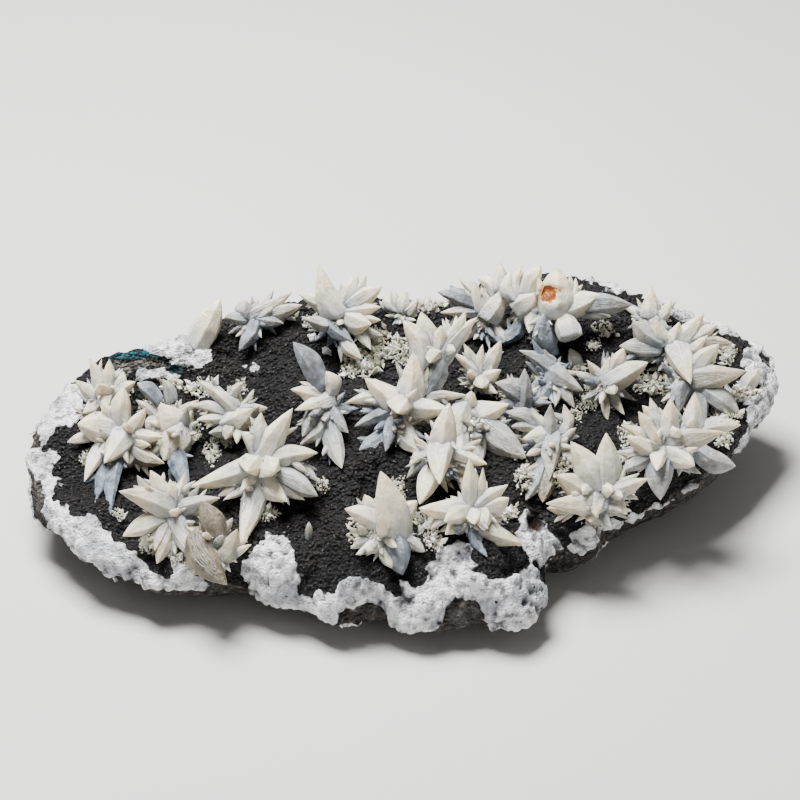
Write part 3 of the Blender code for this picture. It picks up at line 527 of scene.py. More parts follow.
def build_rock():
    """The whole rock as one closed skin: a disc grid for the top face, rings for the side, a fan for the base."""
    reach, bearing = disc_grid(TOP_COLUMNS, TOP_ROWS)
    reach, bearing = reach.ravel(), bearing.ravel()
    row = np.interp(reach, [0, *OUTWARD_SHARES, 1], np.arange(RIM_ROW + 1))
    top = rock_at(row, bearing)
    edge = border(TOP_COLUMNS, TOP_ROWS)
    last_row = len(ROCK_ROWS) - 2
    down = RIM_ROW + (last_row - RIM_ROW) * (np.arange(1, SIDE_ROWS + 1) / SIDE_ROWS) ** 1.6
    side = rock_at(np.tile(down[:, None], len(edge)), np.tile(bearing[edge], (SIDE_ROWS, 1)))
    points = np.vstack([top, side.reshape(-1, 3), ROCK_ROWS[-1, :1]])
    quads = grid_faces(TOP_ROWS, TOP_COLUMNS, closed=False)
    first = len(top)
    join = np.stack([edge, first + np.arange(len(edge)), first + (np.arange(len(edge)) + 1) % len(edge),
                     np.roll(edge, -1)], axis=1)
    quads = np.vstack([quads, join, grid_faces(SIDE_ROWS, len(edge), first)[:, ::-1]])
    foot = first + (SIDE_ROWS - 1) * len(edge) + np.arange(len(edge))
    triangles = fan_faces(foot[::-1], len(points) - 1)
    below = np.concatenate([np.zeros(len(top)), np.repeat(down - RIM_ROW, len(edge)), [last_row]])
    return points, quads, triangles, below


rock_points, rock_quads, rock_triangles, rock_below = build_rock()
rock_normals = normals_of(rock_points, rock_quads)


def rock_coats(points, normals, below):
    """How far into the crust, the bare basalt and the teal stain each point of the rock is, in mm.

    What the front view sees follows the outlines, with their edges made ragged. What it can't see is bare, with
    crust in patches near the rim.
    """
    across, up = seen_at(points)
    ragged = 1.3 * clouds(points, 3.1, 61) + 0.7 * clouds(points, 1.5, 67)
    crust = depth_inside(across, up, CRUST) + ragged
    bare = depth_inside(across, up, BARE) + ragged
    teal = depth_inside(across, up, TEAL) + 0.5 * ragged
    hidden = ((EYE - points) * normals).sum(axis=1) < 0
    behind = 2.0 - 4.0 * below + 5.0 * clouds(points, 15.0, 71) + 2.0 * ragged
    crust = np.where(below > 0, np.where(hidden, behind, np.minimum(crust, 3.0) - 1.5 * below), crust)
    bare = np.where(below > 0, 3.0, bare)
    return crust, bare, np.where(below > 0, -3.0, teal)


def rock_relief(points, crust, bare):
    """How far each point of the rock is moved out: knobs of several sizes, higher where the crust lies on it.

    The druse has rounded knobs about 6 mm and 2.6 mm wide, the crust has lumps and shallow craters, and the
    bare basalt is smoother.
    """
    druse = 1.7 * knobs(points, 6.4, 11) + 1.9 * knobs(points, 3.4, 23) + 1.3 * clouds(points, 12.0, 5)
    druse = druse + 0.7 * clouds(points, 1.9, 27) - 2.5
    chalk = 2.2 * knobs(points, 3.2, 31) + 1.7 * knobs(points, 6.6, 35) + 1.3 * clouds(points, 9.0, 39) - 1.3
    pitted = np.clip(2.5 * clouds(points, 7.0, 49), 0, 1)
    chalk = chalk + 0.5 * clouds(points, 1.9, 37) - 2.4 * pitted * np.clip(knobs(points, 4.0, 47) * 5 - 4.1, 0, 1)
    stone = 0.6 * clouds(points, 7.0, 53) + 0.25 * clouds(points, 2.0, 59) - 0.5
    into_bare = np.clip(bare / 1.6 + 0.5, 0, 1)
    into_crust = np.clip(crust / 1.4 + 0.5, 0, 1)
    relief = druse * (1 - into_bare) + stone * into_bare
    across, up = seen_at(points)
    into_pit = np.clip(1.2 - np.hypot(across - PIT_AT[0], up - PIT_AT[1]) / PIT_HALF, 0, 1)
    return relief * (1 - into_crust) + chalk * into_crust - PIT_DEEP * np.sqrt(into_pit)


rock_crust, rock_bare, rock_teal = rock_coats(rock_points, rock_normals, rock_below)
relief = rock_relief(rock_points, rock_crust, rock_bare) * np.clip(rock_points[:, 2] / 4, 0, 1)
rock_points = rock_points + rock_normals * relief[:, None]
rock_coat = {
    "crust": np.clip(rock_crust / 6 + 0.5, 0, 1),
    "bare": np.clip(rock_bare / 6 + 0.5, 0, 1),
    "teal": np.clip(rock_teal / 6 + 0.5, 0, 1),
    # The relief's height, which the rock's material uses to paint shade in low places and highlight on high knobs.
    "height": np.clip(relief / 8 + 0.5, 0, 1),
    "pit": np.clip((PIT_HALF - np.hypot(*(seen_at(rock_points) - np.array(PIT_AT)[:, None]))) / 2 + 0.5, 0, 1),
}
rock = add_piece("rock", rock_points, rock_quads, rock_triangles, [rock_material()], rock_coat)
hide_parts("matrix")


# The crystals: about 250 pointed blades of calcite in sprays that grow from one or more hearts above the rock.
# They are solid, milky and waxy, cream at the tips and blue-grey where they are older. A lone one has no foot.
# A blade is (root across, root up, tip across, tip up, how much nearer the eye its tip is, width, tone). The
# tone goes from -1, smoky, over 0, cream, to 1, blue-grey. A width below 0 is that of a broken end at the root.
SPRAYS = (
    ("spray_left_back", "calcite_cream", ((-112, 0, 15),), (
        (-113, 5, -117.5, 16, 3, 5.5, 0), (-110, 4, -110, 15.5, 2, 5, 0), (-107, 3, -105, 11.5, 0, 4.5, 0),
        (-115, 1, -123, 7.5, 3, 6.5, 0.2), (-108, 3, -100, 7, 2, 5.5, 0.1), (-114, -2, -120, -5, 8, 7, 0.3),
        (-112, 4, -112, -5, 8, 7.6, 0.1), (-112, 2, -114, 6, 9, 8, 0),
    )),
    ("spray_left_end", "calcite_cream", ((-105, -13, 14), (-87, -11, 12)), (
        (-107, -8, -104.5, 5, 3, 7.5, 0), (-103, -12, -96, -3, 4, 6, 0), (-110, -12, -122, -9, 6, 11, 0.1),
        (-112, -16, -119.5, -31, 9, 7.5, 0), (-104, -12, -112, -24, 13, 10.5, 0),
        (-103, -19, -89, -24, 6, 6.5, -0.6), (-101, -13, -89, -14, 4, 5.5, 0), (-98, -21, -110, -27, 4, 5.5, -0.7),
        (-95, -13, -91, -3, 0, 7.5, 0.3), (-86, -12, -90.5, -1, 3, 8, 0.15), (-86, -12, -101, -15, 1, 8, 0.2),
        (-86, -10, -90, -22, 8, 8.5, 0.15), (-86, -7, -76, 0, 2, 4.8, 0.3), (-86, -19, -80, -37, 10, 7.5, 0.75),
        (-113, -24, -115.5, -39, 9, 5, 0.8), (-108, -23, -109.5, -43.5, 10, 7.5, 0.8),
        (-110, -7, -112, -1, 3, 4, 0), (-116, -14, -126, -16, 3, 4, 0.2), (-103, -12, -103, -9, 9, 5, 0),
        (-101, -17, -94.5, -17, 6, 4.5, 0), (-93, -5, -100, 0, 1, 3.5, 0.3), (-92, 2, -99.5, 6.5, 1, 6, 0.7), (-86, 2, -90, 8, 1, 5.5, 0.5), (-82, -14, -91, -1.5, 5, 12, 0.1),
        (-81, -9, -89.5, -23, 9, 12, 0.1),
    )),
    ("spray_left_front", "calcite_cream", ((-86, -42, 12), (-72, -53, 10)), (
        (-86, -41, -106.5, -34.5, 8, 10, -0.4), (-90, -45, -105, -51.5, 7, 7.5, -0.3),
        (-88, -38, -94.5, -26.5, 3, 6, 0), (-86, -40, -87, -30, 3, 6.5, 0.1), (-85, -40, -81, -27, 1, 5, 0),
        (-89, -46, -93, -57, 8, 5.5, -0.4), (-86, -48, -92, -62, 9, 6.5, -0.6), (-86, -45, -77, -61, 11, 8.5, 0.3),
        (-82, -41, -68, -37, 4, 6.5, 0.4), (-80, -52, -65.4, -70, 12, 11, -1), (-66, -63, -61.6, -48.8, 4, 8, -0.6),
        (-68, -52, -75.3, -38, 2, 9, -0.9), (-95, -37, -99.5, -28.5, 1, 4.5, 0.5), (-85, -43, -86, -42, 9, 6, 0),
        (-74, -53, -73, -50, 7, 5, 0), (-70, -56, -67, -51, 3, 4.5, 0.5),
    )),
    ("spray_left_middle", "calcite_cream", ((-54, -26, 15),), (
        (-57, -26, -80, -33, 6, 9, 0.05), (-52, -20, -40.5, -3, 3, 9.5, 0), (-48, -22, -31, -20, 4, 7.5, 0.2),
        (-52, -30, -42.5, -38.5, 9, 9.5, 0), (-55, -23, -58, -27, 12, 9.5, 0), (-54, -29, -60.5, -34.5, 8, 6.5, 0),
        (-54, -34, -60, -42, 8, 5.5, 0.15), (-56, -32, -67, -38, 5, 4.4, 0.3), (-54, -36, -60.4, -56, 16, 8.5, 0.1),
        (-46, -27, -31, -36.5, 7, 8.5, 0.5), (-47, -30, -36, -38, 5, 6.5, 0.4), (-54, -18, -60, -12, 3, 5.5, 0.1), (-54, -15, -52.5, -4.5, 2, 7.5, 0.25),
        (-50, -24, -47.5, -27, 13, 9.5, 0), (-52, -35, -57, -43, 8, 4.5, 0.2), (-59, -31, -69, -36.5, 4, 4, 0.3),
        (-38, -25, -35, -32, 4, 4, 0.5), (-37, -24, -30.5, -31, 4, 4.5, 0.5),
    )),
    ("crystals_frosted", "calcite_frosted", ((-63, -6, 8),), (
        (-62, -11, -72.5, -12.5, 3, 7, 0.5), (-66, -11, -55, -3, 3, 10, 0.1), (-61, -3, -71.5, 4.5, 3, 6.5, 0.1),
        (-61, -4, -50, -3, 2, 6, 0.4), (-66, 0, -59, 7, 0, 5, 0.35), (-68, -3, -80, -2, 2, 5, 0.3), (-66, 1, -76, 7, 1, 5, 0.2), (-63, -8, -66, -15, 5, 6, 0.3),
        (-67, -7, -77, -7.5, 2, 4.5, 0.1),
    )),
    ("spray_dome", "calcite_cream", ((-29, 0, 11),), (
        (-30, 7, -40.5, 22, 3, 8.5, 0.68), (-24, 3, -28, 11, 4, 7, 0), (-29, 1, -41.5, 4, 4, 6.5, 0),
        (-25, 0, -40, -4, 7, 8, 0.1), (-31, -4, -37, -14, 7, 6.5, 0.6), (-26, -4, -19.5, -12.5, 6, 6.5, 0.6),
        (-26, -9, -38, -17, 7, 7.5, 0.5), (-26, -13, -22, -26, 8, 7.5, 0.5), (-31, 3, -38, 7, 3, 4, 0),
    )),
    ("spray_back_peak", "calcite_cream", ((-22, 33, 12),), (
        (-25.5, 31, -30.8, 51.4, 4, 11.5, 0), (-29, 36, -38.7, 40.5, 1, 5, 0.1), (-17, 31, -7.2, 30.2, 3, 4.2, 0.1),
        (-20, 37, -16.2, 47.3, 0, 7.5, 0), (-18, 38, -12.7, 47.3, -2, 6, 0.1), (-18, 37, -6.6, 42.8, 0, 8.5, 0),
        (-18, 33.5, -7.1, 35.2, 3, 6.5, 0), (-20, 30, -10.8, 28.7, 6, 8.5, 0), (-24, 27, -36.8, 31, 3, 7, 0.5),
        (-23, 23, -14.5, 15.5, 6, 6, 0.1), (-29, 29, -18, 22, 4, 7, 0.7), (-15, 26, -11, 19, 5, 5, 0.2),
        (-23, 30, -22.8, 28.5, 6, 5, 0), (-13, 26, -6.2, 24.3, 2, 4.5, 0.4),
    )),
    ("crystals_back_row", "calcite_cream", ((1, 33, 5),), (
        (-5, 34, -3.4, 41.5, 0, 6, 0.15), (-3, 34, -1.6, 41, 0, 4, 0.1), (0.5, 33, 2.5, 41.3, 0, 5.5, 0.15),
        (3, 33, 6.8, 38.3, 1, 5.5, 0.2),
    )),
    ("leaf_back_left", "calcite_cream", ((-77, 20, 0),), ((-78, 19, -68, 38.5, 2, 10.5, 0),)),
    ("spray_back_low", "calcite_grey", ((-56, 31, 6),), (
        (-59.5, 31, -58.5, 38, 1, 7, 0.5), (-58, 31, -40.5, 41, 1, 7, 0.3), (-53, 29, -61, 18.5, 6, 7, 0.7),
        (-50, 32, -37, 36, 1, 5.5, 0.3), (-53, 30, -44, 29, 3, 6, 0.6), (-59, 31, -66.6, 31.4, 3, 6, 0.6),
        (-54, 31, -48, 35, 3, 5, 0.4),
    )),
    ("spray_centre", "calcite_cream", ((3, -2, 22), (28, -6, 17), (17, -20, 9)), (
        (4, 1, 5, 18.2, 5, 11.5, 0), (8.5, 1, 10.5, 12.6, 3, 6, 0), (-1, -3, -13.5, 8.5, 4, 10, 0),
        (1, 0, -0.8, -5, 15, 10, 0), (5, -3, 19, -3.4, 8, 9, 0), (8, 2, 26, 1.8, 2, 5.5, 0.2),
        (-7, -5, -17.3, -10, 5, 6, 0.65), (-6, -15, -15.5, -19, 5, 6.5, 0.7), (-3.4, -8, -5.5, -19.5, 9, 6.5, 0.7),
        (-2, -11, 11.5, -21.5, 7, 9.5, 0.2), (-8, 2, -20.5, -1, 3, 5.4, 0.1), (13, 4, 16.6, 18, 2, 7.5, 0.65),
        (28, -6.5, 41.3, -1.5, 5, 9.5, 0), (30, -9, 47.8, -22, 9, 11, 0.5), (23, -1, 23, -15.7, 9, 11, 0.2),
        (29, -11, 31, -24, 8, 6.5, 0.55), (15.5, -22, 18.7, -1, 4, 9, 0), (14, -23, 7.4, -39.5, 11, 7.8, 0.05),
        (9, -22, 2.5, -29.5, 2, 5, 0.6), (10, -21, 4, -23, 2, 5, 0.6), (24, -14, 27, -21, 6, 6, 0.2),
        (19, -9, 26, -40, 22, 8.5, 0), (20, -19, 33, -24.3, 6, 5.4, 0.1), (16, -14, 15, -32, 13, 9.5, 0),
        (11, 18, 1, 30, 3, 10, 0.05), (11, 19, 8, 33.5, 1, 9, 0.1), (15.2, 20, 15.6, 28.2, 4, 6, 0),
        (18, 20, 25, 34, 2, 8, 0), (18, 20, 29.5, 31.5, 2, 7.5, 0.1), (14, 20, 11, 14, 6, 8, 0.1),
        (0.5, -8, 5, -15.5, 8, 4.5, 0), (10, -19, 3.5, -24.5, 4, 5, 0.2), (26.3, -4.5, 27, 3.4, 5, 5.2, 0),
        (17, 20, 21, 18.5, 5, 6, 0),
    )),
    ("spray_centre_front", "calcite_cream", ((28, -42, 11),), (
        (26, -41, 26.2, -22, 5, 6, 0), (29, -41, 31.4, -25.3, 3, 4.8, 0.1), (30, -39, 41, -32, 3, 7.5, 0.05),
        (33, -42, 41.3, -37, 4, 6.5, 0.1), (23, -43, 7, -41, 7, 9, 0), (27, -42, 16.5, -46, 9, 7.5, -0.2),
        (24, -44, 17, -51, 7, 7, 0.1), (30.5, -41, 32, -49.5, 8, 7, 0.05), (29, -49, 47, -54.5, 7, 8.5, -0.5),
        (28, -42, 28, -47, 9, 7, 0), (27, -50, 33, -59.5, 3, 6, 0.75),
    )),
    ("spray_star", "calcite_cream", ((31, 9, 8),), (
        (30, 11, 31.3, 21.2, 3, 4.8, 0), (33, 12, 38.3, 22.6, 2, 6, 0.1), (29, 11, 19.8, 18, 3, 4.5, 0),
        (32, 7.5, 38.3, 11.5, 5, 6, 0), (31, 8, 31, 4.5, 8, 6, 0), (31, 6, 37, 2.5, 5, 6, 0.2),
        (28, 9, 25.5, 10.5, 5, 5, 0.2), (28, 12, 24, 21.5, 1, 4.5, 0.3),
    )),
    ("spray_front", "calcite_cream", ((-4.5, -49, 12),), (
        (-1, -57, -7.4, -26.8, 6, 12.5, 0.1), (-3, -50, 1, -66.3, 7, 10.5, 0.72), (-8, -46, -21, -41.2, 5, 8.5, 0.05),
        (-5, -54, -16.8, -58.6, 7, 7, 0.1), (1, -52, 9.5, -57.5, 4, 4.5, 0.5), (-1, -45, 6.5, -38, -1, 7, 0.1),
        (-10, -43, -13.4, -35.8, 2, 4.8, 0.05), (-6, -53.5, -7, -43, 15, 5, 0),
    )),
    ("spray_back_right", "calcite_cream", ((48, 36, 10), (60, 33, 10), (33, 33, 8)), (
        (33, 30, 41, 44.5, 2, 10, 0.1), (28.6, 33, 28.3, 45.5, 3, 6.5, 0), (37, 43, 29, 46.5, -1, 5.5, 0),
        (38.5, 44, 38, 52.5, 0, 6.5, 0), (41, 40, 46.3, 51, 0, 6, 0), (46, 42, 53.4, 51, 1, 7, 0),
        (40, 38, 42, 49, 0, 8, 0), (43, 34, 52, 40, 2, 10, 0.1), (58, 31, 59.5, 50.2, 4, 13.5, 0),
        (55, 36, 52, 46.5, 2, 7, 0), (63, 34, 76, 39.9, 3, 9.5, 0), (64, 40, 64.4, 48, 1, 3.8, 0),
        (65.5, 38, 66.5, 46.4, 0, 3.8, 0), (64.4, 23.4, 60.5, 37, -6, -9.5, -0.1), (42, 20, 47, 34, 3, 8.5, 0.75),
        (51, 32, 44.7, 36, 3, 6.5, 0.2), (54, 17, 54.5, 33, 4, 9, 0.7), (26, 38, 14, 41, 2, 7, 0.65),
        (27, 34, 15, 33, 2, 5, 0.3), (68, 36, 88, 36, 2, 10, 0.6), (70, 34, 80, 31.5, 2, 5.5, 0.4),
        (28, 42, 22.3, 46, 0, 4, 0), (50, 32, 48.8, 25.3, 5, 5.5, 0),
    )),
    ("crystals_middle_right", "calcite_grey", ((58, 10, 6),), (
        (56, 12, 69.4, 3.4, 6, 8.5, 0.5), (58, 12, 45, 18.8, 3, 8, 0.6), (60, 7, 66, -3, 6, 6.5, 0.45),
        (60, 6, 58.6, -2.8, 6, 5, 0.5),
        (57, 5, 51, -2, 2, 6.5, 0.7), (55, 6, 48, 3, 1, 6, 0.7),
    )),
    ("crystals_tall_grey", "calcite_grey", ((46, 0, 6),), (
        (46, -4, 47.2, 12, 3, 7.5, 0.6), (46, 3, 36, 6.5, 3, 9, 0.55), (46, -5, 37, -7.5, 3, 5.5, 0.6),
    )),
    ("spike_middle_right", "calcite_cream", ((67, 12.5, -1),), ((67.7, 11.5, 64.2, 19.6, 3, 5.2, 0.5),)),
    ("spray_column", "calcite_cream", ((56, -15, 12),), (
        (56, -17, 57, -1.5, 3, 8, 0.55), (57, -12, 56.5, -30.3, 9, 10, 0.45), (56, -11, 49.5, -4.3, 3, 5.5, 0.1),
        (57, -14, 46.3, -14.8, 6, 8.8, 0.1), (57, -23, 46.2, -27.4, 4, 5.4, 0.2), (55.5, -27, 54, -38.8, 7, 7.5, -0.9),
        (53, -9.5, 42, -10, 3, 5.5, 0.5), (51, -7, 40, -4.5, 3, 6.5, 0.5),
        (53, -27, 47.5, -38, 2, 6.5, 0.6), (61, -18, 66, -24, 4, 5, 0.4), (65, -12, 62, -1.5, 2, 6, 0.1), (60, -13, 68, -14, 3, 5.5, 0.6),
    )),
    ("spray_right_end", "calcite_cream", ((103, 20.5, 13.4), (95, 31, 6), (110, 6, 8)), (
        (94, 31, 95.2, 43.3, 1, 8.2, 0), (98.3, 30, 102.8, 37.8, 0, 5.6, 0), (95, 22, 88, 30, 3, 8.5, 0.5),
        (95, 18.5, 83, 20.4, 3, 7, 0.5), (98, 26.5, 101, 10.4, 9, 9.5, 0.2), (98, 22, 96.5, 30.5, 4, 7.5, 0),
        (103, 21, 105.7, 29.6, 4.5, 7.5, 0), (107, 22, 115, 33, 2, 9.5, 0), (111, 23, 120.2, 28.5, 1, 6.5, 0.1),
        (114, 22, 126, 21.5, 2, 6.5, -0.5), (109, 17, 116.5, 24.5, 5, 6, 0), (112, 14, 120.8, 21.3, 4, 8.5, 0.1),
        (105, 21, 110, 6, 12, 10, 0), (110, 8.5, 131, 11, 7, 11.5, -0.5), (106, 6, 106, -4.5, 4, 9, 0.6),
        (113, 5, 115.5, -9, 5, 6, 0.6), (115, 5, 128.5, -5.5, 4, 8, 0.55), (96, 31, 97, 24, 3, 7, 0.2),
    )),
    ("spray_right_small", "calcite_cream", ((79, 7, 7),), (
        (78.3, 8, 79.4, 16.6, 2, 5.5, 0.1), (80, 9, 84.7, 19.8, 2, 6.5, 0.15), (77.5, 5, 94, 14.3, 4, 9.5, 0.2),
        (79, 6, 81.2, 2.2, 6, 5.5, 0.2),
    )),
    ("spray_right_front", "calcite_cream", ((99, -17, 13), (110, -14, 10)), (
        (101, -12.5, 102.5, 0.8, 4, 8.3, 0.05), (97, -15, 90.2, -4.3, 4, 6.8, 0.05), (98, -9, 91.6, -2, 1, 6.5, 0.2),
        (97, -9, 94.6, 1, 0, 5.4, 0.1), (111, -11, 111.6, 3, 3, 9, 0.05), (96, -16, 83.5, -9.5, 3, 6.3, 0.1),
        (97, -20, 85.8, -14, 6, 7.7, 0.1), (98.5, -18, 97.2, -26.8, 12, 6.2, 0.05),
        (101.5, -19.5, 111.5, -25, 10, 7.8, 0.1), (103, -17, 122.6, -12, 7, 10.5, -0.5), (113, -10, 129, -9.5, 2, 6, 0.2),
        (99, -22, 98.5, -38, 8, 10, 0.6), (112, -21, 127, -25, 4, 8.5, 0.55), (94, -21, 81, -19.5, 3, 5.6, 0.4),
        (94, -22, 84, -27, 5, 6, 0.5), (103, -21, 114, -28, 5, 7, 0.6), (110.5, -13, 110.9, -6.3, 6, 6, 0),
        (97.5, -19, 96.2, -11, 8, 5.2, 0), (103, -13, 105, -11.5, 8, 5.4, 0),
    )),
    ("spray_right_low", "calcite_cream", ((76, -35, 12),), (
        (74.5, -32, 64.6, -15.6, 4, 10, 0.05), (79, -31, 78, -12.3, 3, 10.5, 0.1), (71, -36, 59, -28.4, 5, 8, -0.3),
        (79, -40, 55, -39.2, 8, 9.5, -0.3), (80, -36, 94, -29.7, 4, 8, 0.1), (81, -34, 90.6, -27.7, 3, 5.5, 0.1),
        (66, -42, 55.5, -41, 4, 5.5, -0.5), (81, -37, 86, -43.5, 5, 6.5, 0.3), (74, -36, 74, -44, 7, 8, 0.15),
        (71, -37, 64.8, -35, 6, 4.4, 0.1), (71, -34, 69, -34.5, 9, 6, 0), (77, -34, 80.6, -34.4, 9, 5.6, 0),
        (81, -36, 84.3, -36.6, 8, 5.2, 0.1),
    )),
    ("crystal_right_rim", "calcite_cream", ((131, 5, -1),), ((130, 4, 136, 12, 2, 6.5, 0.2),)),
    ("crystal_tiny_front", "calcite_cream", ((-34.5, -53, -1),), ((-34.5, -53, -34.5, -46, 2, 2.9, 0.5),)),
)
BURY = 1.5
TIP_CLEAR_SHARE = 0.4
THICKNESS_SHARE = 0.72
FULL = 1.12
ROOT_SHARE = 0.95
TO_HEART, TO_HEART_MOST, TO_HEART_PART = 0.45, 0.4, 0.46
FOOT_TOP, FOOT_BOTTOM, FOOT_DEEP, FOOT_SHARE = 0.42, 0.6, 3.0, 0.72
ALONG_COUNT, TURNS = 24, (0.0, 5.0, 30.0, 55.0)
YOUNG_ALONG, YOUNG_TURNS = 7, (0.0,)
FOOT_RINGS, FOOT_ROUND = 16, 36
YOUNG_A_FOOT = 30
YOUNG_A_BLADE = 3
LEAFY, LEAFY_WIDTH, LEAFY_TONE = 0.75, 11.7, -0.8
HOLLOW_AT, HOLLOW_HALF, HOLLOW_DEEP = (57.0, 40.0), (5.0, 3.7), 1.8


def rock_tree_of(node):
    """A tree of the modelled rock's faces, in mm, for rays and for the nearest place on it."""
    mesh = node.data
    return BVHTree.FromPolygons([v.co / MM for v in mesh.vertices], [list(p.vertices) for p in mesh.polygons])


def toward_of_rock(across, up):
    """How far in front of the view's plane the rock is at this place, or None where the view misses it."""
    sight = Vector(MIDDLE + ACROSS * across + UP * up - EYE).normalized()
    hit = ROCK_TREE.ray_cast(Vector(EYE), sight)[0]
    return None if hit is None else float((np.array(hit) - MIDDLE) @ TOWARD)


def unit(vector):
    return vector / np.linalg.norm(vector)


def six_faced(angle, corner, sharpness):
    """How far out a six-faced section with rounded ridges reaches at each angle.

    It is one over the sharpness-norm of the cosines to the six face normals. The normals are moved in turns
    8 degrees to and fro, so that three ridges are sharper than the three between them, as in calcite.
    """
    normals = corner + np.radians(30.0 + 60.0 * np.arange(6) + 8.0 * (-1.0) ** np.arange(6))
    facing = np.clip(np.cos(angle[:, None] - normals), 0, None)
    reach = (facing**sharpness).sum(axis=1) ** (-1 / sharpness)
    return reach / np.max(reach * np.abs(np.cos(angle)))


def blade(heart, root, tip, width, leafy, number, along_count, turns, source):
    """One crystal as rings of points along its axis, and each point's share of the length and local place.

    Width: a root share rising along a parabola to the widest place, then full less a power of the way on to
    the tip, slightly blunt. The leafier it is, the nearer the middle it is widest and the rounder its sides are.
    The middle line runs from root to tip, bowed a little to one side, and its root is drawn in towards the
    heart. The wide way of the section lies across the line of sight. A ring has a point on each ridge, at 0
    degrees of each sixth of a turn, and may have points close beside it, so that the faces look flat.
    """
    axis = tip - root
    length = np.linalg.norm(axis)
    side = np.cross(axis, TOWARD)
    if np.linalg.norm(side) < 0.2 * length:
        side = np.cross(axis, UP)
    side = unit(side)
    thick = unit(np.cross(side, axis))
    inward = (heart - root) * TO_HEART
    inward = inward - axis * (max(0.0, inward @ axis) / length**2)
    inward *= min(1.0, TO_HEART_MOST * length / max(np.linalg.norm(inward), 0.01))
    widest = 0.12 + 0.32 * leafy
    power = 1.18 + 0.75 * leafy
    root_share = ROOT_SHARE - 0.14 * leafy
    bow = source.uniform(-0.035, 0.035) * length
    lean = source.uniform(-0.25, 0.25)
    corner = math.pi / 2 + (0.0 if number % 2 == 0 else math.pi / 6) + source.uniform(-0.2, 0.2)
    share = 1 - (1 - np.linspace(0, 1, along_count)) ** 1.5
    before = root_share + (1 - root_share) * (1 - np.clip((widest - share) / widest, 0, 1) ** 2)
    after = (1 - np.clip((share - widest) / (1 - widest), 0, 1) ** power) ** 0.92
    size = FULL * width / 2 * np.where(share < widest, before, after)
    angle = corner + np.radians(60.0 * np.arange(6)[:, None] + np.array(turns)).ravel()
    reach = six_faced(angle, corner, source.uniform(60.0, 200.0))
    middle = root + axis * share[:, None] + inward * np.clip(1 - share / TO_HEART_PART, 0, 1)[:, None] ** 1.5
    middle = middle + side * (bow * np.sin(np.pi * share))[:, None]
    across = size[:, None] * (reach * np.cos(angle))
    deep = size[:, None] * (reach * np.sin(angle)) * THICKNESS_SHARE
    deep = deep + lean * across * (share * (1 - share))[:, None]
    around = across[..., None] * side + deep[..., None] * thick
    points = middle[:, None] + around
    uneven = 0.045 * clouds(points, 4.4, 41) + 0.022 * clouds(points, 1.9, 43)
    points = points + around * uneven[..., None]
    far = np.tile(share[:, None], len(angle))
    local = np.stack([across, far * length, deep + 40.0 * number], axis=2)
    return points, far, local


def foot(heart, widest, source):
    """The lumpy mass that carries a heart: a blunt cone from inside the rock, domed over just under the heart.

    The radius goes straight from bottom to top, then as a quarter circle, and knobs are added to it.
    """
    ground, normal = (np.array(part) for part in ROCK_TREE.find_nearest(Vector(heart))[:2])
    axis = heart - ground if np.linalg.norm(heart - ground) > 1 else normal
    start = ground - normal * FOOT_DEEP
    top = ground + (heart - ground) * FOOT_SHARE
    side = unit(np.cross(axis, ACROSS))
    other = np.cross(unit(axis), side)
    rise = np.linspace(0, 1.35, FOOT_RINGS)
    dome = np.clip((rise - 1) / 0.35, 0, 0.999)
    radius = widest * (FOOT_BOTTOM + (FOOT_TOP - FOOT_BOTTOM) * np.minimum(rise, 1)) * np.sqrt(1 - dome**2)
    height = np.minimum(rise, 1) + 0.2 * dome
    angle = np.arange(FOOT_ROUND) * 2 * np.pi / FOOT_ROUND
    around = np.cos(angle)[:, None] * side + np.sin(angle)[:, None] * other
    middle = start + (top - start) * height[:, None]
    points = middle[:, None] + radius[:, None, None] * around
    lumpy = 0.7 * knobs(points, 3.2, int(source.integers(1000))) + 0.5 * clouds(points, 6.0, 3) - 0.3
    return points + lumpy[..., None] * around * np.minimum(radius / 2, 1)[:, None, None]


def side_blades(root, tip, width, source):
    """Small crystals that grow from the lower half of a large one: root, tip and width of each.

    Each leaves at a random place along it and a random turn about it, but not on its front, 25 to 50 degrees
    off its axis.
    """
    axis = tip - root
    length = np.linalg.norm(axis)
    side = unit(np.cross(axis, UP + 0.1 * ACROSS))
    other = np.cross(unit(axis), side)
    rows = []
    for _ in range(YOUNG_A_BLADE):
        turn = source.uniform(0, 2 * np.pi)
        way = side * math.cos(turn) + other * math.sin(turn)
        if way @ TOWARD > 0.3:
            way = way - TOWARD * (way @ TOWARD + 0.3)
        start = root + axis * source.uniform(0.0, 0.4) + way * (0.15 * width)
        size = min(0.6 * length, 10.0) * source.uniform(0.6, 1.0)
        end = start + unit(way * source.uniform(0.5, 1.2) + unit(axis)) * size
        rows.append((start, end, size * source.uniform(0.27, 0.40)))
    return rows


def young_blades(heart, widest, source):
    """Small crystals that stand out all round a foot, below the heart: root, tip and width of each.

    Their directions go round the foot's axis at even angles, jittered, and lean up or down it.
    """
    ground, normal = (np.array(part) for part in ROCK_TREE.find_nearest(Vector(heart))[:2])
    axis = unit(heart - ground) if np.linalg.norm(heart - ground) > 1 else normal
    side = unit(np.cross(axis, ACROSS))
    other = np.cross(axis, side)
    rows = []
    for turn in (np.arange(YOUNG_A_FOOT) + source.uniform(-0.4, 0.4, YOUNG_A_FOOT)) * 2 * np.pi / YOUNG_A_FOOT:
        way = side * math.cos(turn) + other * math.sin(turn)
        root = ground + (heart - ground) * source.uniform(0.0, 0.6) + way * (0.25 * widest)
        length = source.uniform(0.5, 1.35) * min(widest, 9.5)
        tip = root + unit(way + axis * source.uniform(-0.1, 0.9)) * length
        rows.append((root, tip, length * source.uniform(0.28, 0.42)))
    return rows


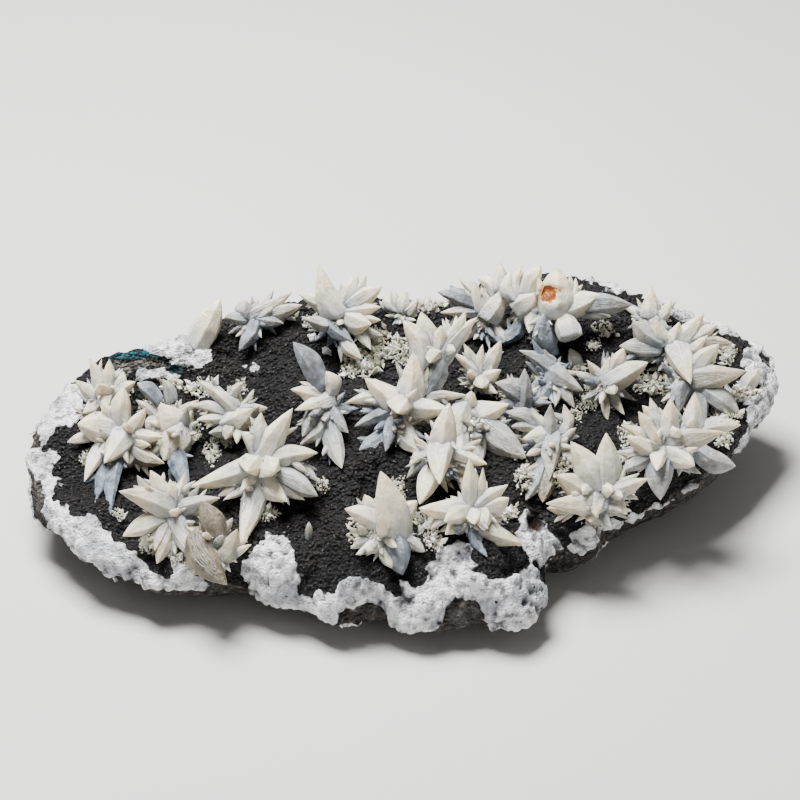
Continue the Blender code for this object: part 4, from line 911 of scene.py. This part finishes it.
def spray_mesh(hearts, blades, source):
    """All blades and feet of one spray as points, quads, triangles and attributes.

    A root lies at the depth of the nearest heart, or on the rock where that is nearer to the eye. A tip stays
    clear of the rock.
    """
    centres = [(across, up, toward_of_rock(across, up) + rise) for across, up, rise in hearts]
    shells, quads, triangles, feet = [], [], [], []
    first = 0
    placed = []
    for across, up, tip_across, tip_up, out, width, grey in blades:
        near = min(centres, key=lambda c: (c[0] - across) ** 2 + (c[1] - up) ** 2)
        ground = toward_of_rock(across, up)
        depth = near[2] if ground is None else max(near[2], ground - BURY)
        under_tip = toward_of_rock(tip_across, tip_up)
        if width < 0:
            depth -= out
        tip_depth = depth + out
        if under_tip is not None:
            tip_depth = max(tip_depth, under_tip + TIP_CLEAR_SHARE * width)
        root = view_point(across, up, depth)
        heart = root if width < 0 else view_point(*near)
        placed.append((heart, root, view_point(tip_across, tip_up, tip_depth), abs(width), grey))
    widest = max(row[5] for row in blades)
    large = len(placed)
    for heart, root, tip, width, grey in placed[:large] if len(blades) > 1 else ():
        rows = side_blades(root, tip, width, source)
        placed += [(row[0], *row, grey + source.uniform(-0.1, 0.5)) for row in rows]
    for centre in centres if len(blades) > 1 else ():
        heart = view_point(*centre)
        placed += [(heart, *row, source.uniform(0.1, 0.9)) for row in young_blades(heart, widest, source)]
        points = foot(heart, widest, source)
        feet.append(points)
        points = np.vstack([points.reshape(-1, 3), points[0].mean(axis=0), points[-1].mean(axis=0)])
        shells.append((points, np.zeros(len(points)), points, np.full(len(points), 0.45), np.ones(len(points))))
        add_shell(quads, triangles, first, FOOT_RINGS, FOOT_ROUND)
        first += len(points)
    for number, (heart, root, tip, width, grey) in enumerate(placed):
        along_count, turns = (ALONG_COUNT, TURNS) if number < large else (YOUNG_ALONG, YOUNG_TURNS)
        leafy = LEAFY if width > LEAFY_WIDTH or grey <= LEAFY_TONE else source.uniform() ** 1.5
        if len(blades) == 1:
            leafy = LEAFY
        points, far, local = blade(heart, root, tip, width, leafy, number, along_count, turns, source)
        count = far.size + 2
        shells.append((
            np.vstack([points.reshape(-1, 3), points[0].mean(axis=0), points[-1].mean(axis=0)]),
            np.append(far.ravel(), [0, 1]),
            np.vstack([local.reshape(-1, 3), local[0].mean(axis=0), local[-1].mean(axis=0)]),
            np.full(count, float(grey)),
            np.zeros(count),
        ))
        add_shell(quads, triangles, first, along_count, 6 * len(turns))
        first += count
    points, far, local, grey, crumbly = (np.concatenate(part) for part in zip(*shells))
    attributes = {"along": far, "local": local, "grey": grey, "crumbly": crumbly}
    return points, np.vstack(quads), np.vstack(triangles), attributes, feet


def add_shell(quads, triangles, first, rows, columns):
    """Note the faces of a closed shell: a grid of rings, and a fan at each end to the two points after it."""
    ring = first + np.arange(columns)
    quads.append(grid_faces(rows, columns, first))
    triangles.append(fan_faces(ring[::-1], first + rows * columns))
    triangles.append(fan_faces(ring + (rows - 1) * columns, first + rows * columns + 1))


def calcite_material():
    """Milky waxy calcite: light goes a few mm into it. Fine growth lines run along each crystal.

    The tips are cream and the roots whiter, and clouds of a few mm lie inside. Older crystals are blue-grey,
    some are smoky, and one has rust round the hollow where it broke.
    """
    made, tree, shader = new_material("milky calcite")
    place = add_node(tree, "ShaderNodeTexCoord").outputs["Object"]
    along = add_node(tree, "ShaderNodeAttribute", {"attribute_name": "along"}).outputs["Fac"]
    grey = add_node(tree, "ShaderNodeAttribute", {"attribute_name": "grey"}).outputs["Fac"]
    crumbly = add_node(tree, "ShaderNodeAttribute", {"attribute_name": "crumbly"}).outputs["Fac"]
    local = add_node(tree, "ShaderNodeAttribute", {"attribute_name": "local"}).outputs["Vector"]
    cloud = add_node(tree, "ShaderNodeTexNoise", Vector=place, Scale=230.0, Detail=5.0).outputs["Fac"]
    fine = add_node(tree, "ShaderNodeTexNoise", Vector=place, Scale=900.0, Detail=3.0).outputs["Fac"]
    drawn = add_node(tree, "ShaderNodeMapping", Vector=local, Scale=(2.2, 0.16, 2.2)).outputs["Vector"]
    lines = add_node(tree, "ShaderNodeTexNoise", Vector=drawn, Scale=1.0, Detail=4.0).outputs["Fac"]
    milk = ramp(tree, cloud, (0.38, "#000000"), (0.62, "#ffffff"))
    cream = ramp(tree, along, (0.06, "#c3c6c5"), (0.36, "#e6e0cf"), (0.80, "#fdeecb"))
    cream = mixed(tree, milk, ramp(tree, along, (0.06, "#a9aeb0"), (0.6, "#d9cfb3")), cream)
    sugary = ramp(tree, fine, (0.52, "#000000"), (0.74, "#7a7a7a"))
    cream = mixed(tree, sugary, cream, "#fbf8f0")
    blue = mixed(tree, sugary, mixed(tree, milk, "#4c545f", "#848d98"), "#bdc3ca")
    smoky = mixed(tree, sugary, mixed(tree, milk, "#45402f", "#7d7561"), "#bab39f")
    to_smoky = add_node(tree, "ShaderNodeMath", {"operation": "MULTIPLY"}, _0=grey, _1=-1.0).outputs[0]
    to_blue = ramp(tree, grey, (0.0, "#000000"), (0.75, "#ffffff"))
    colour = mixed(tree, to_smoky, mixed(tree, to_blue, cream, blue), smoky)
    colour = mixed(tree, crumbly, colour, "#a6a393")
    from_hollow = add_node(tree, "ShaderNodeVectorMath", {"operation": "DISTANCE"}, _0=place,
                           _1=tuple(RUSTY_HOLLOW * MM)).outputs["Value"]
    reach = add_node(tree, "ShaderNodeMath", {"operation": "MULTIPLY_ADD"}, _0=from_hollow, _1=1000.0 / 10.0,
                     _2=add_node(tree, "ShaderNodeMath", {"operation": "MULTIPLY"}, _0=fine, _1=0.4).outputs[0])
    rust = ramp(tree, reach.outputs[0], (0.24, "#f3e6cf"), (0.36, "#d9a85e"), (0.46, "#b5651d"), (0.57, "#74370f"),
                (0.66, "#c98a3f"), (0.76, "#efe6d3"))
    colour = mixed(tree, ramp(tree, reach.outputs[0], (0.66, "#ffffff"), (0.76, "#000000")), colour, rust)
    tree.links.new(colour, shader.inputs["Base Color"])
    shader.inputs["Roughness"].default_value = 0.36
    shader.inputs["IOR"].default_value = 1.55
    shader.inputs["Subsurface Weight"].default_value = 0.7
    shader.inputs["Subsurface Radius"].default_value = (1.0, 0.9, 0.75)
    shader.inputs["Subsurface Scale"].default_value = 0.0028
    steps = ramp(tree, lines, (0.40, "#000000"), (0.62, "#ffffff"))
    uneven = add_node(tree, "ShaderNodeMath", {"operation": "MULTIPLY_ADD"}, _0=steps, _1=0.5, _2=fine)
    uneven = add_node(tree, "ShaderNodeMath", {"operation": "MULTIPLY_ADD"}, _0=cloud, _1=1.6, _2=uneven.outputs[0])
    bump = add_node(tree, "ShaderNodeBump", Height=uneven.outputs[0], Strength=0.5, Distance=0.0008)
    tree.links.new(bump.outputs["Normal"], shader.inputs["Normal"])
    return made


def hollowed(points):
    """The points, with the front of the broken crystal pushed in: a bowl with an uneven floor.

    The depth is the square root of 1 less the square of the way to the oval's edge. Only points within a few
    mm of the foremost one in the oval move.
    """
    across, up = seen_at(points)
    off = np.hypot((across - HOLLOW_AT[0]) / HOLLOW_HALF[0], (up - HOLLOW_AT[1]) / HOLLOW_HALF[1])
    toward = (points - MIDDLE) @ TOWARD
    front = np.max(toward[off < 0.6])
    deep = HOLLOW_DEEP * np.sqrt(np.clip(1 - off**2, 0, 1)) * (1 + 0.5 * clouds(points, 1.6, 91))
    return points - TOWARD * np.where(toward > front - 3.5, deep, 0)[:, None]


ROCK_TREE = rock_tree_of(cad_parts["matrix"])
RUSTY_HOLLOW = view_point(*HOLLOW_AT, toward_of_rock(*HOLLOW_AT) + 14.0)
calcite = calcite_material()
crystal_source = np.random.default_rng(31)
all_feet = []
for name, slot, hearts, blades in SPRAYS:
    points, quads, triangles, attributes, feet = spray_mesh(hearts, blades, crystal_source)
    if name == "spray_back_right":
        points = hollowed(points)
    spray = add_piece(name + "_blades", points, quads, triangles, [calcite], attributes)
    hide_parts(name)
    all_feet += feet


# The frost: crumbs of a younger calcite, stubby needles 1 to 3 mm long, in tufts on the rock between the sprays
# and round their feet. They are greenish white, grown fast to what is under them.
# A tuft is (across, up, half its width, half its height, number of needles, how high they pile up).
TUFTS = (
    (-12, 17, 9, 6, 420, 2.5), (-2, 18, 6, 6, 260, 2.5), (-17, 10, 4, 3, 90, 1.5), (-8, 24, 5, 3, 120, 2),
    (10, -45, 5, 3.5, 160, 2), (12, -52, 3.5, 5, 170, 2), (39, -43, 5, 3, 170, 2), (-17, -51, 3, 4, 60, 1.5),
    (86, -14, 3, 4, 110, 2), (84.5, -22, 2.5, 2.5, 60, 1.5), (55, 8, 4, 3, 90, 1.5), (66, -4, 2.5, 4, 60, 1.5),
    (67, 12, 2.5, 3, 60, 1.5), (72, 0, 2.5, 4.5, 70, 1.5), (80, -2.5, 3, 1.5, 30, 1.2), (93, 6, 4, 3.5, 120, 2),
    (97, 4, 4, 3, 120, 2), (11, 36, 6, 3, 160, 2), (73, 20.5, 3, 1.5, 40, 1), (124, 17, 3, 3.5, 140, 2),
    (130, 3, 5, 3, 220, 2), (122, -6, 6, 3.5, 300, 2.5), (122.5, -14.5, 3, 3, 120, 2), (63, -23, 3, 5, 160, 2),
    (85, -34, 4, 5, 60, 1.5), (-84, -59, 4, 4, 180, 2), (-80, -56, 3, 3, 90, 2), (-96.5, -54, 2.5, 4, 80, 1.5),
    (-107, -44, 3, 2, 45, 1.2), (-119, -22, 2, 3, 50, 1.2), (-78, -12, 3.5, 4, 70, 1.2), (-71, -19, 3, 5, 120, 1.6),
    (-75, 4, 5, 3, 160, 2), (-86, 5, 4.5, 3, 260, 3), (-60, 5, 2, 4, 40, 1), (-50, -44, 4, 3, 60, 1.4),
    (-89, -55, 5, 5, 120, 1.6), (-40, -26, 2.5, 3, 40, 1.2), (-29, -33, 3, 3, 30, 1), (0, -34, 3, 4, 60, 1.2),
    (48, -30, 4, 5, 90, 1.6), (44, -18, 4, 4, 80, 1.5), (60, -30, 3, 4, 60, 1.2), (38, 3, 3, 3, 60, 1.4),
    (52, 24, 5, 3, 90, 1.6), (36, 26, 4, 4, 100, 1.6), (22, 27, 4, 4, 110, 1.6), (98, 14, 4, 5, 110, 1.6),
    (108, -2, 4, 3, 110, 1.6), (90, 12, 2, 2, 30, 1), (77, 27, 4, 3, 60, 1.2), (-30, 29, 5, 3, 100, 1.6),
    (-47, 31, 6, 2, 90, 1.4), (-105, 3, 4, 3, 60, 1.4), (-92, -2, 6, 3, 120, 1.6), (-66, -13, 5, 5, 110, 1.6),
)
CRUMBS_A_FOOT = 300
MORE_NEEDLES = 1.7
NEEDLE_SIDES = 4


def needles(anchors, directions, source):
    """Stubby needles from the anchors: a point, a ring of four, a point, each along its own direction.

    The ring lies 0.3 to 0.5 of the way up. The directions are mixed with random ones.
    """
    count = len(anchors)
    axis = directions + source.normal(size=(count, 3)) * 0.6
    axis /= np.linalg.norm(axis, axis=1)[:, None]
    side = np.cross(axis, source.normal(size=(count, 3)))
    side /= np.linalg.norm(side, axis=1)[:, None]
    other = np.cross(axis, side)
    length = source.uniform(0.6, 1.7, count) * (1 + 1.6 * (source.uniform(size=count) < 0.07))
    radius = length * source.uniform(0.2, 0.34, count)
    angle = np.arange(NEEDLE_SIDES) * 2 * np.pi / NEEDLE_SIDES
    middle = anchors + axis * (length * source.uniform(0.3, 0.5, count))[:, None]
    spread = np.cos(angle)[:, None] * side[:, None] + np.sin(angle)[:, None] * other[:, None]
    ring = middle[:, None] + spread * radius[:, None, None]
    start = anchors - axis * 0.4
    points = np.concatenate([start[:, None], ring, (anchors + axis * length[:, None])[:, None]], axis=1)
    each = NEEDLE_SIDES + 2
    turn = np.arange(NEEDLE_SIDES)
    after = (turn + 1) % NEEDLE_SIDES
    low = np.stack([np.zeros(NEEDLE_SIDES, int), 1 + after, 1 + turn], axis=1)
    high = np.stack([np.full(NEEDLE_SIDES, each - 1), 1 + turn, 1 + after], axis=1)
    triangles = (np.arange(count) * each)[:, None, None] + np.concatenate([low, high])
    tint = np.repeat(source.uniform(0, 1, count), each)
    return points.reshape(-1, 3), triangles.reshape(-1, 3), tint


def tuft_anchors(source):
    """Random places on the rock inside the tufts' ovals of the front view, and the rock's normals there."""
    across, up = seen_at(rock_points)
    facing = ((EYE - rock_points) * rock_normals).sum(axis=1) > 0
    places, directions = [], []
    for tuft_across, tuft_up, half_width, half_height, count, pile in TUFTS:
        off = np.hypot((across - tuft_across) / half_width, (up - tuft_up) / half_height)
        edge = 1 + 0.5 * clouds(rock_points, 3.0, 83)
        near = np.flatnonzero(facing & (rock_below == 0) & (off < edge))
        if len(near):
            count = int(count * MORE_NEEDLES)
            chosen = near[source.integers(len(near), size=count)]
            lift = source.uniform(-0.3, 1, count) ** 3 * pile * np.clip(1.2 - off[chosen], 0.2, 1)
            jitter = source.normal(size=(count, 3)) * 0.45
            places.append(rock_points[chosen] + rock_normals[chosen] * lift[:, None] + jitter)
            directions.append(rock_normals[chosen])
    return np.concatenate(places), np.concatenate(directions)


def foot_anchors(source):
    """Random places on the feet, with the way out from each foot's middle."""
    places, directions = [], []
    for points in all_feet:
        middle = points.mean(axis=1)[:, None]
        outward = (points - middle).reshape(-1, 3)
        outward /= np.maximum(np.linalg.norm(outward, axis=1), 0.1)[:, None]
        chosen = source.integers(len(outward), size=CRUMBS_A_FOOT)
        places.append(points.reshape(-1, 3)[chosen])
        directions.append(outward[chosen])
    return np.concatenate(places), np.concatenate(directions)


def frost_material():
    """Sugary young calcite: greenish white, each needle a shade of its own, with a faint wet shine."""
    made, tree, shader = new_material("frost of young calcite")
    tint = add_node(tree, "ShaderNodeAttribute", {"attribute_name": "tint"}).outputs["Fac"]
    colour = ramp(tree, tint, (0.0, "#a5a189"), (0.35, "#cac7b2"), (0.7, "#e3e1d2"), (1.0, "#faf8f0"))
    tree.links.new(colour, shader.inputs["Base Color"])
    shader.inputs["Roughness"].default_value = 0.35
    shader.inputs["Subsurface Weight"].default_value = 0.4
    shader.inputs["Subsurface Radius"].default_value = (1.0, 0.95, 0.85)
    shader.inputs["Subsurface Scale"].default_value = 0.0012
    return made


frost_source = np.random.default_rng(59)
frost_coat = frost_material()
for name, (anchors, directions) in (
    ("frost_on_rock", tuft_anchors(frost_source)),
    ("frost_on_feet", foot_anchors(frost_source)),
):
    points, triangles, tint = needles(anchors, directions, frost_source)
    frost = add_piece(name, points, np.zeros((0, 4), int), triangles, [frost_coat], {"tint": tint})
    frost.data.polygons.foreach_set("use_smooth", np.zeros(len(triangles), bool))


def add_table():
    """A wide pale table top at the height that the rock rests on."""
    made, tree, shader = new_material("pale matt table top")
    shader.inputs["Base Color"].default_value = linear("#cbcac8")
    shader.inputs["Roughness"].default_value = 0.9
    half = 2500.0
    points = np.array([[-half, -half, 0], [half, -half, 0], [half, half, 0], [-half, half, 0]])
    table = add_piece("table", points, np.array([[0, 1, 2, 3]]), np.zeros((0, 3), int), [made])


def add_light(name, place, size, power):
    """A square soft light at the place, turned to the specimen."""
    data = bpy.data.lights.new(name, "AREA")
    data.size = size
    data.energy = power
    light = bpy.data.objects.new(name, data)
    bpy.context.scene.collection.objects.link(light)
    toward = (Vector(MIDDLE) * MM - Vector(place)).to_track_quat("-Z", "Y").to_matrix().to_4x4()
    light.matrix_world = Matrix.Translation(place) @ toward


add_table()
add_light("soft light overhead", (-0.22, 0.18, 0.95), 0.45, 40.0)
add_light("soft light in front", (0.6, -1.1, 0.5), 0.8, 1.8)
world = bpy.data.worlds.new("studio")
world.use_nodes = True
world.node_tree.nodes["Background"].inputs["Color"].default_value = linear("#e8e8ea")
world.node_tree.nodes["Background"].inputs["Strength"].default_value = 0.20
bpy.context.scene.world = world
